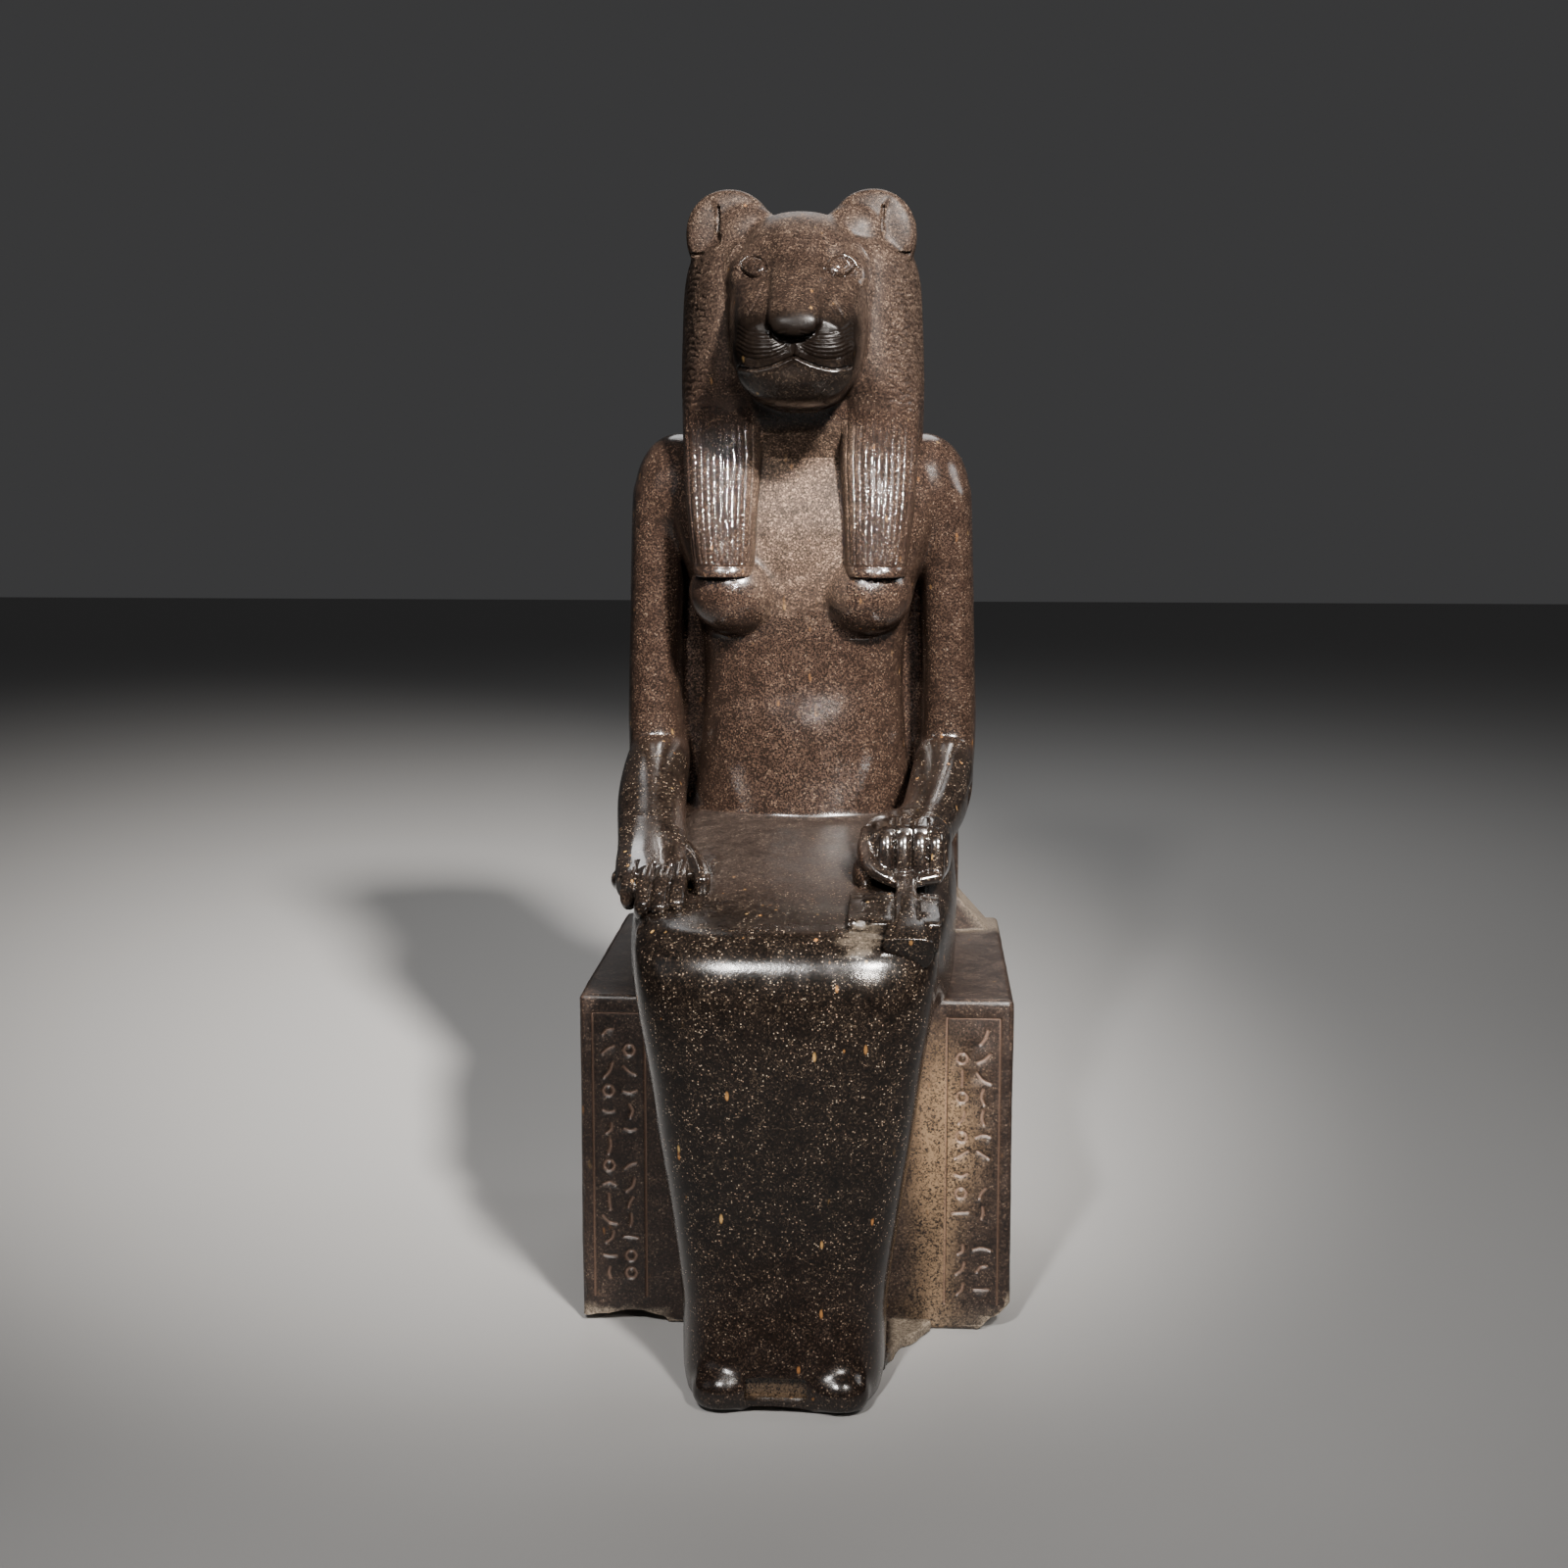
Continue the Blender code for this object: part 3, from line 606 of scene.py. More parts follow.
# Each lappet from its lower end up, and the mane above it: height, inner x, outer x, back, front, squareness
LAPPET = [
    (112.3, 7, 16.6, 24, 34.6, 2.4),
    (117.5, 6.8, 17.2, 24, 34, 2.4),
    (124, 6.5, 18, 24, 33, 2.4),
    (131, 6.1, 18.4, 23, 31.8, 2.4),
    (136, 6.3, 18.6, 21, 31.6, 2.3),
]
MANE = [
    (139, 5.6, 18.8, 17, 32.4, 2.2),
    (142, 3.6, 19, 11, 33.6, 2.1),
    (147, 1.6, 19.1, 7, 34.4, 2),
    (152, 1, 19, 5.4, 34.6, 2),
    (157, 1, 18.7, 5.6, 34.4, 2),
    (160.5, 1.5, 18, 6.4, 33.6, 2),
    (163, 2.5, 16.8, 8, 32, 2),
    (165.5, 3.5, 15.2, 10.4, 29.6, 2),
]
RIBS = 11


def head_shapes():
    wig = [
        level(118.5, 18.2, 4.5, 23, 3),
        level(128.5, 18.9, 4, 25, 3),
        level(133, 19.2, 4, 27.5, 3),
        level(137, 19.3, 4, 30, 3),
        level(144, 19.3, 4, 30.8, 2.9),
        level(151.8, 19, 4, 30.4, 2.8),
        level(157.5, 18.4, 4, 29.6, 2.7),
        level(161.5, 17, 5, 29, 2.6),
        level(165, 14, 6.5, 28, 2.4),
        level(167.3, 9, 9.5, 26, 2.2),
    ]
    skull = [
        section(24, 10, 139, 166.8, 2.6),
        section(29, 10.8, 138, 168.2, 2.5),
        section(33, 10.8, 137.8, 167.2, 2.4),
        section(36, 10.4, 137.8, 165, 2.4),
        section(39, 9.9, 138, 161, 2.5),
        section(42, 9.4, 138.2, 157, 2.7),
        section(45, 8.8, 139.2, 153.6, 2.7),
        section(47.2, 7.6, 141.6, 151.4, 2.6),
    ]
    bridge = [
        section(30, 5.6, 156, 168, 2.6),
        section(34, 5.2, 155, 167, 2.7),
        section(37.5, 4.6, 153, 164.4, 2.9),
        section(40, 4.2, 151.6, 161.2, 3),
        section(44, 3.9, 150, 157, 2.9),
        section(47.4, 3.9, 148.8, 153.8, 2.6),
        section(48.8, 3.8, 148.4, 152.2, 2.4),
    ]
    made = [
        loft(wig, 96, along=UP),
        loft(skull, 72, facing=UP, along=FORWARD, end=0.6),
        loft(bridge, 60, facing=UP, along=FORWARD, end=1.2),
        ball((0, 41.6, 142.2), (6.8, 4.2, 3.8)),
    ]
    for side in (-1, 1):
        made.append(ball((side * 4.1, 43.9, 146.8), (5.2, 4.6, 3.9)))
        made.append(ball((side * 6.6, 35, 157.6), (4, 3.5, 4.6)))
        made.append(ball((side * 8.4, 31.4, 156), (4, 4.4, 8)))
        made.append(ball((side * 8.2, 27.4, 164.4), (5.4, 3.9, 5.2)))
        fall = [
            level(height, (outer - inner) / 2, back, front, squareness, side * (inner + outer) / 2)
            for height, inner, outer, back, front, squareness in LAPPET + MANE
        ]
        made.append(loft(fall, 72, along=UP))
        ear = [
            (side * 10.9, 20, 164.3, 6.6, 6.8, 6.8, 2.1),
            (side * 11, 24, 164.7, 6.9, 7.1, 7.1, 2.1),
            (side * 11.1, 27.5, 164.8, 6.7, 7, 7, 2.1),
        ]
        made.append(loft(ear, 72, facing=UP, along=FORWARD, start=3, end=1.6))
    return made


def carve_face(flat, face):
    """How far the face's surface moves out, or in where negative."""
    move = np.zeros(len(flat))
    for side in (-1, 1):
        own = (flat - (side * 6.6, 159.3)) * (side, 1)
        lean = 0.05 * (flat[:, 1] - 155)
        beside = ramp(flat[:, 0] * side, 3.9 - lean, 5.2 - lean)
        move -= 0.8 * mound(own, (0, -0.2), (4.2, 3.6)) * beside
        radius = np.linalg.norm((own - (0.05, 0.05)) * (0.84, 1.15), axis=1)
        move += 1.0 * np.sqrt(np.clip(1 - (radius / 1.62) ** 2, 0, 1))
        move -= 0.10 * ramp(np.abs(radius - 0.8), 0.2, 0.05)
        upper = [(-2.1, -0.45), (-1.3, 0.95), (0.1, 1.5), (1.5, 1), (2.3, -0.1)]
        lower = [(-2.1, -0.45), (-0.9, -1.25), (0.8, -1.35), (2.3, -0.1)]
        for lid in (upper, lower):
            move -= 0.36 * groove(own, lid, 0.46)
            move += 0.12 * groove(own, [(1.14 * u, 1.26 * v) for u, v in lid], 0.6)
        cheek = [(side * 4.5, 157.2), (side * 5.2, 155.2), (side * 6, 153.2), (side * 7, 151.6)]
        move -= 0.18 * groove(flat, cheek, 0.46)
        second = [(x - side * 0.8, z - 0.3) for x, z in cheek]
        move -= 0.10 * groove(flat, second, 0.38)
        edge = [(side * 5.2, 167.4), (side * 6.6, 165.6), (side * 9.2, 162.9), (side * 10.9, 160.4)]
        move += 0.13 * groove(flat, edge, 0.5)
        for k in range(WHISKERS):
            rise = 0.62 * k
            whisker = [
                (side * 1, 146.5 + 0.7 * rise),
                (side * 3.4, 145.3 + 0.95 * rise),
                (side * 6.4, 145.2 + 1.05 * rise),
                (side * 8.4, 146.2 + 1.1 * rise),
            ]
            move -= 0.10 * groove(flat, whisker, 0.36)
        lip = [(0, 145.6), (side * 3, 144.3), (side * 5.9, 143.7), (side * 8.3, 144.1)]
        move -= 0.30 * groove(flat, lip, 0.5)
        move += 0.10 * groove(flat, [(x, z - 0.45) for x, z in lip], 0.45)
        nostril = [(side * 0.5, 147.4), (side * 1.8, 147.7), (side * 3, 148.6), (side * 3.5, 149.8)]
        move -= 0.16 * groove(flat, nostril, 0.55)
    move -= 0.16 * groove(flat, [(0, 148.2), (0, 145.6)], 0.45)
    return move * face


def carve_ears(points, front):
    """The dished flange beside each ear's inner lobe."""
    x, height = np.abs(points[:, 0]), points[:, 2]
    fold = 12.6 + 0.10 * np.maximum(height - 167.5, 0) ** 2 - 0.3 * np.maximum(165.4 - height, 0)
    beyond = x - fold
    radius = np.hypot(x - 11.1, height - 164.8)
    dish = ramp(beyond, -0.4, 0.8) * (0.62 - 0.10 * np.clip(beyond, 0, 5))
    lower = 164.0 - 0.60 * (x - 12)
    sides = ramp(height, lower - 1, lower + 0.6) * ramp(height, 171.6, 168.4) * ramp(radius, 7.5, 6.9)
    flat = np.stack([x, height], axis=1)
    slot = 0.75 * groove(flat, [(12.75, 168.9), (12.7, 167), (12.85, 165.2)], 0.9)
    fold_line = 0.16 * groove(flat, [(12.9, 164.9), (13.7, 163.4), (15, 162.3), (16.2, 161.9)], 0.5)
    notch = 0.7 * groove(flat, [(15.3, 162), (16.6, 161.8), (18.2, 162.1)], 0.9)
    cut = np.maximum(np.maximum(dish * sides, slot), np.maximum(fold_line, notch))
    return -cut * ramp(front, 0.15, 0.45) * ramp(-points[:, 1], 20, 23)


def carve_ribs(points, front):
    """The lappets' upright ribs, which fade into the mane, and the plain band at their lower ends."""
    rows = np.array(LAPPET)
    height = points[:, 2]
    near, far = (np.interp(height, rows[:, 0], rows[:, i]) for i in (1, 2))
    share = (np.abs(points[:, 0]) - near) / (far - near)
    within = between(share, -0.03, 0.01, 1, 1.04)
    within *= ramp(front, 0.05, 0.25) * ramp(-points[:, 1], 25, 27)
    lines = ramp(np.abs(np.sin(math.pi * RIBS * share)), 0.5, 0.05)
    depth = RIB_DEPTH * between(height, 114.2, 114.6, 134, 139.5)
    band = 0.15 * ramp(np.abs(height - 114), 0.3, 0.08)
    return -(depth * lines + band) * within


def carve_mane(points, rng):
    """Short bent strokes of hair on the wig's front corners and sides."""
    cut = np.zeros(len(points))
    outer = ramp(np.abs(points[:, 0]), 13, 14.6)
    for side in (-1, 1):
        mine = np.flatnonzero(points[:, 0] * side > 12.5)
        turn = np.degrees(np.arctan2(-points[mine, 1] - 18, np.abs(points[mine, 0])))
        unrolled = np.stack([turn * 0.33, points[mine, 2]], axis=1)
        found = np.zeros(len(mine))
        for row in range(HAIR_ROWS):
            height = 161.0 - 0.98 * row
            start = -9.0 + rng.uniform(0, 2.0)
            while start < 16.5:
                length = rng.uniform(2.0, 3.6)
                drop = rng.uniform(0.3, 0.9)
                z = height + rng.uniform(-0.2, 0.2)
                stroke = [(start, z - drop), (start + length / 2, z), (start + length, z - 0.5 * drop)]
                found = np.maximum(found, groove(unrolled, stroke, 0.42, 3))
                start += length + rng.uniform(0.3, 0.9)
        cut[mine] = found
    return -HAIR_DEPTH * cut * outer * ramp(points[:, 2], 136.5, 139.5)


def make_head(rng):
    head = make("head", head_shapes())
    bake(head, "REMESH", mode="VOXEL", voxel_size=VOXEL_HEAD)
    points = read(head)
    forward = -points[:, 1]
    height = points[:, 2]
    face = ramp(forward, 35, 37.5) * ramp(height, 168, 163)
    lower_end = ramp(height, 114.5, 113)
    smooth(head, 1 - np.maximum(0.55 * face, 0.75 * lower_end), 42)
    points = read(head)
    normals = read(head, "normal")
    front = -normals[:, 1]
    flat = points[:, [0, 2]]
    face = ramp(-points[:, 1], 30.5, 33) * ramp(front, -0.1, 0.25)
    move = carve_face(flat, face) + carve_ears(points, front) + carve_ribs(points, front)
    move += carve_mane(points, rng)
    move += 0.035 * noise(points, 6, 3) + 0.014 * noise(points, 2.2, 4)
    write(head, points + normals * move[:, None])
    thin_out(head, TRIANGLES["head"])
    return head


# The throne


def panel_lines():
    """The frames and the rows of short strokes, each a list of flat points. The strokes aren't letters."""
    rng = np.random.default_rng(11)
    found = []
    for side in (-1, 1):
        outer = THRONE_HALF - 1.95
        low, high = sorted((side * (outer - PANEL_WIDTH), side * outer))
        bottom, top = 4.2, SEAT_HEIGHT - 2.8
        found.append([(low, bottom), (low, top), (high, top), (high, bottom)])
        height = top - 2.9
        while height > bottom + 1.6:
            for middle in (low + 2.35, high - 2.35):
                if rng.random() < 0.12:
                    continue
                if rng.random() < 0.16:
                    turns = np.linspace(0, 2 * math.pi, 7)
                    found.append([(middle + 0.8 * math.cos(a), height + 0.8 * math.sin(a)) for a in turns])
                    continue
                turn = rng.choice((0.0, 0.0, 90.0, 90.0, 35.0, -35.0, 60.0)) + rng.uniform(-6, 6)
                long = rng.uniform(0.8, 1.3)
                c, s = math.cos(math.radians(turn)), math.sin(math.radians(turn))
                bend = rng.uniform(-0.4, 0.4)
                stroke = [(-long, 0), (0, bend), (long, 0)]
                found.append([(middle + u * c - v * s, height + u * s + v * c) for u, v in stroke])
            height -= rng.uniform(2.7, 3.3)
    return found


def panel_cut(flat):
    """1 in the incised lines and strokes of the throne's front, 0 elsewhere."""
    cut = np.zeros(len(flat))
    for line in panel_lines():
        framing = len(line) == 4
        width, steps = (FRAME_LINE, 1) if framing else (STROKE_WIDTH, 5)
        cut = np.maximum(cut, groove(flat, line, width, steps))
    return cut


def make_throne():
    fine, plain = 0.17, 1.5
    columns = np.concatenate([
        np.arange(-THRONE_HALF, -31, 0.25), np.arange(-31, -21.6, fine), np.arange(-21.6, 21.6, plain),
        np.arange(21.6, 31, fine), np.arange(31, THRONE_HALF, 0.25), [THRONE_HALF],
    ])
    rows = np.concatenate([
        np.arange(0, 1.4, 0.25), np.arange(1.4, 49.6, fine),
        np.arange(49.6, SEAT_HEIGHT, 0.25), [SEAT_HEIGHT],
    ])
    depths = np.concatenate([
        np.arange(0, 1.4, 0.25), np.arange(1.4, 52.6, 1.0),
        np.arange(52.6, THRONE_DEPTH, 0.25), [THRONE_DEPTH],
    ])
    throne = make("throne", [grid_block(columns, depths, rows, 0.9)])
    points = read(throne)
    points[:, 0] -= MIDLINE
    normals = read(throne, "normal")
    own = points + (MIDLINE, 0, 0)
    front = ramp(-normals[:, 1], 0.7, 0.9)
    cut = STROKE_DEPTH * panel_cut(own[:, [0, 2]]) * front
    lateral = ramp(np.abs(normals[:, 0]), 0.7, 0.9)
    sides = np.stack([-points[:, 1], points[:, 2]], axis=1)
    border = np.abs(np.abs(sides - (27, 25.6)) - (23.4, 22)).min(axis=1)
    within = (np.abs(sides - (27, 25.6)) < (23.7, 22.3)).all(axis=1)
    cut += 0.16 * lateral * within * ramp(border, 0.3, 0.1)
    chips = np.maximum(noise(points, 3.2, 5) - 0.35, 0)
    edges = ramp(np.sort(np.abs(normals), axis=1)[:, 1], 0.2, 0.6)
    uneven = 0.06 * noise(points, 11, 6) + 0.03 * noise(points, 3.5, 7) - 0.5 * chips * edges
    write(throne, points + normals * (uneven - cut)[:, None])
    thin_out(throne, TRIANGLES["throne"])
    return throne


def make_back():
    """The low backrest, broken off in a slope at the viewer's right, and the pillar behind the figure."""
    def row(low, high, pitch):
        return np.linspace(low, high, max(2, int(round((high - low) / pitch)) + 1))

    backrest = make("backrest", [grid_block(row(-25, 25, 1), row(0.8, 10, 0.8), row(50, 61.3, 0.8), 0.7)])
    pillar = make("pillar", [grid_block(row(-12, 12, 1), row(0.4, 8, 0.8), row(50, 160, 2), 0.7)])
    for thing in (backrest, pillar):
        points = read(thing)
        points[:, 0] -= MIDLINE
        normals = read(thing, "normal")
        uneven = 0.06 * noise(points, 9, 8) + 0.03 * noise(points, 3, 9)
        write(thing, points + normals * uneven[:, None])
    points = read(backrest)
    own = points[:, 0] + MIDLINE
    top = np.interp(own, (21.5, 25), (61.3, 57.3))
    shear = np.interp(points[:, 2], (50, 57.3), (6.6, 0)) * ramp(own, 22.5, 25)
    points[:, 2] = np.minimum(points[:, 2], top + 0.2 * noise(points, 1.5, 10))
    points[:, 0] += shear
    write(backrest, points)
    return [backrest, pillar]


# Breaks


def rough(name, shape, seed, pitch=0.35, amount=0.22):
    """A cutter with a broken stone's face."""
    made = make(name, [shape])
    bake(made, "REMESH", mode="VOXEL", voxel_size=pitch)
    points = read(made)
    normals = read(made, "normal")
    wave = noise(points, 2.6, seed) + 0.55 * noise(points, 1.1, seed + 1) + 0.3 * noise(points, 0.55, seed + 2)
    write(made, points + normals * (amount * wave)[:, None])
    return made


def prism(corners, back, front):
    """A flat outline of (x, height), made solid from back to front."""
    loops = [[(x - MIDLINE, -forward, z) for x, z in corners] for forward in (back, front)]
    return skin(loops)


def make_breaks():
    half = THRONE_HALF + 1.2
    left = [(-half, -1.2), (-18.8, -1.2), (-19.4, 0.9), (-23.3, 2.1), (-28.5, 1.6), (-half, 0.6)]
    right = [(half, -1.2), (half, 4.5), (32.4, 4.5), (30.6, 2.7), (28.9, 1.6), (27.4, 0), (26.9, -1.2)]
    return [
        rough("left_break", prism(left, 49, 55.2), 21),
        rough("corner_break", prism(right, 44, 55.2), 24),
        rough("little_end", ball((-23.6, 65.2, 68.2), (2, 2.4, 3)), 27, 0.2, 0.12),
        rough("ring_end", ball((-21, 68.9, 67), (1.7, 2.4, 2.8)), 30, 0.2, 0.12),
        rough("arm_chip", ball((29.9, 15, 117.6), (1.7, 3, 1)), 33, 0.2, 0.12),
        rough("forearm_chip", ball((28.9, 30, 77.5), (2.6, 6, 3.6)), 36, 0.25, 0.2),
        rough("stem_end", ball((17.6, 81, 67.2), (5.2, 3.2, 3.2)), 39, 0.25, 0.3),
        rough("bar_end", ball((10.4, 76.8, 68.2), (3.4, 3.2, 2.6)), 42, 0.25, 0.25),
    ]


def make_remnant():
    """The stone left between the foot and the throne's front, broken on top."""
    plan = [
        (12, 50), (21.5, 50), (21, 55), (18.5, 59.7), (16.9, 60.8),
        (15.8, 64), (14.9, 66.3), (14.4, 68.8), (12, 69.5),
    ]
    loops = [[(x, -forward, z) for x, forward in plan] for z in (0, 1.7)]
    made = rough("remnant", skin(loops), 45, 0.25, 0.22)
    write(made, onto_ground(read(made)))
    return made


def make_hem_recess():
    """The recess under the dress's hem between the feet, and the broken sill below it."""
    def row(low, high):
        return np.linspace(low, high, 8)

    hem = make("hem", [grid_block(row(-4.9, 3.7), row(81, 92), row(2, 5.2), 0.5)])
    sill = [(-6.4, -1.5), (-5.4, 0.5), (-4.2, 1.2), (2.6, 1.1), (4.6, 0.6), (6.2, -1.5)]
    return [hem, rough("sill", prism([(x + MIDLINE, z) for x, z in sill], 74, 90), 48, 0.25, 0.16)]


# Material


def stone(name):
    made = bpy.data.materials.new(name)
    made.use_nodes = True
    return made


def make_stone():
    made = stone("polished_granodiorite")
    nodes, links = made.node_tree.nodes, made.node_tree.links
    shader = nodes["Principled BSDF"]
    place = nodes.new("ShaderNodeTexCoord").outputs["Object"]

    def mapped(scale):
        node = nodes.new("ShaderNodeMapping")
        node.inputs["Scale"].default_value = scale
        links.new(place, node.inputs["Vector"])
        return node.outputs["Vector"]

    def cloud(scale, detail, rough=0.55):
        node = nodes.new("ShaderNodeTexNoise")
        node.inputs["Scale"].default_value = scale
        node.inputs["Detail"].default_value = detail
        node.inputs["Roughness"].default_value = rough
        links.new(place, node.inputs["Vector"])
        return node.outputs["Fac"]

    def cells(scale, vector=None):
        node = nodes.new("ShaderNodeTexVoronoi")
        node.inputs["Scale"].default_value = scale
        links.new(vector or place, node.inputs["Vector"])
        split = nodes.new("ShaderNodeSeparateColor")
        links.new(node.outputs["Color"], split.inputs["Color"])
        return node.outputs["Distance"], split.outputs["Red"], split.outputs["Green"]

    def step(value, low, high, to_low=0.0, to_high=1.0):
        node = nodes.new("ShaderNodeMapRange")
        node.interpolation_type = "SMOOTHSTEP"
        links.new(value, node.inputs["Value"])
        for key, number in zip(("From Min", "From Max", "To Min", "To Max"), (low, high, to_low, to_high)):
            node.inputs[key].default_value = number
        return node.outputs["Result"]

    def maths(operation, first, others):
        for other in others:
            node = nodes.new("ShaderNodeMath")
            node.operation = operation
            node.use_clamp = operation == "ADD"
            for socket, value in zip(node.inputs, (first, other)):
                if isinstance(value, float):
                    socket.default_value = value
                else:
                    links.new(value, socket)
            first = node.outputs["Value"]
        return first

    def times(first, *others):
        return maths("MULTIPLY", first, others)

    def plus(first, *others):
        return maths("ADD", first, others)

    def blend(share, one, two):
        node = nodes.new("ShaderNodeMix")
        node.data_type = "RGBA"
        links.new(share, node.inputs["Factor"])
        for key, value in ((6, one), (7, two)):
            if isinstance(value, tuple):
                node.inputs[key].default_value = (*value, 1.0)
            else:
                links.new(value, node.inputs[key])
        return node.outputs[2]

    def region(name):
        node = nodes.new("ShaderNodeAttribute")
        node.attribute_name = name
        return node.outputs["Fac"]

    legs, lap, grey, matt, stain, broken = map(region, ("legs", "lap", "grey", "matt", "stain", "broken"))
    cut, mane, chest, painted_nose_shade = map(region, ("cut", "mane", "chest", "painted_nose_shade"))
    specks, satin, polish = map(region, ("specks", "satin", "polish"))

    def palette(plain, on_legs, on_grey, on_lap, on_chest_painted_light, on_throne):
        found = blend(legs, plain, on_legs)
        found = blend(grey, found, on_grey)
        found = blend(lap, found, on_lap)
        # On the chest the stone is painted lighter: partly its own mottling, partly painted light.
        found = blend(chest, found, on_chest_painted_light)
        return blend(matt, found, on_throne)

    ground = palette(
        (0.0075, 0.005, 0.004), (0.0022, 0.0017, 0.0014), (0.008, 0.0058, 0.0048),
        (0.009, 0.007, 0.006), (0.020, 0.0135, 0.010), (0.006, 0.0035, 0.0028)
    )
    mid = palette(
        (0.022, 0.013, 0.0095), (0.0075, 0.005, 0.0038), (0.030, 0.021, 0.016),
        (0.023, 0.0165, 0.0135), (0.056, 0.039, 0.029), (0.020, 0.0115, 0.008)
    )
    light = palette(
        (0.050, 0.032, 0.022), (0.032, 0.023, 0.016), (0.090, 0.065, 0.048),
        (0.048, 0.036, 0.029), (0.22, 0.150, 0.105), (0.062, 0.040, 0.028)
    )

    patches = cloud(38.0, 2.0)
    gap, pick, tint = cells(400.0)
    grain = plus(times(cloud(330.0, 2.0, rough=0.7), 0.85), times(pick, 0.26), times(patches, 0.30))
    colour = blend(step(grain, 0.50, 0.76), ground, mid)
    colour = blend(step(grain, 0.74, 0.94), colour, light)
    fleck = times(step(gap, 0.48, 0.24), step(pick, 0.88, 0.92), specks, step(patches, 0.34, 0.60))
    colour = blend(times(fleck, 0.8), colour, blend(tint, (0.28, 0.18, 0.125), (0.38, 0.32, 0.24)))
    gap, pick, tint = cells(1.0, mapped((100.0, 100.0, 38.0)))
    streak = times(step(gap, 0.34, 0.14), step(pick, 0.93, 0.95), step(patches, 0.44, 0.58))
    ochre = blend(tint, (0.36, 0.15, 0.045), (0.32, 0.21, 0.08))
    colour = blend(times(streak, plus(times(legs, 0.65), 0.3)), colour, ochre)

    stained = times(stain, step(grain, 0.50, 0.80))
    colour = blend(stained, colour, (0.25, 0.165, 0.095))
    colour = blend(times(cut, 0.6), colour, (0.21, 0.135, 0.10))
    fresh = blend(step(grain, 0.50, 0.86), (0.085, 0.065, 0.046), (0.27, 0.22, 0.165))
    colour = blend(broken, colour, fresh)
    # Painted shade: the muzzle below the nose is made nearly black, standing in for the shadow under the nose.
    colour = blend(times(painted_nose_shade, 0.92), colour, (0.0025, 0.0017, 0.0013))
    links.new(colour, shader.inputs["Base Color"])

    gloss = step(patches, 0.3, 0.75, 0.17, 0.25)
    sheen = plus(times(satin, 0.24), times(mane, 0.26), times(painted_nose_shade, 0.10), times(matt, 0.26))
    links.new(plus(gloss, sheen, times(fleck, 0.12), times(broken, 0.5)), shader.inputs["Roughness"])

    bump = nodes.new("ShaderNodeBump")
    bump.inputs["Strength"].default_value = 1.0
    bump.inputs["Distance"].default_value = 0.002
    relief = plus(times(broken, 0.9), times(matt, 0.07), 0.09)
    links.new(times(cloud(240.0, 3.0, rough=0.6), relief), bump.inputs["Height"])
    links.new(bump.outputs["Normal"], shader.inputs["Normal"])
    dull = plus(times(mane, 0.8), painted_nose_shade, times(satin, 0.8), times(chest, 0.3), times(polish, 0.35))
    links.new(step(dull, 0.0, 1.0, 0.5, 0.06), shader.inputs["Specular IOR Level"])
    links.new(polish, shader.inputs["Coat Weight"])
    shader.inputs["Coat Roughness"].default_value = 0.09
    shader.inputs["Coat IOR"].default_value = 1.8
    return made


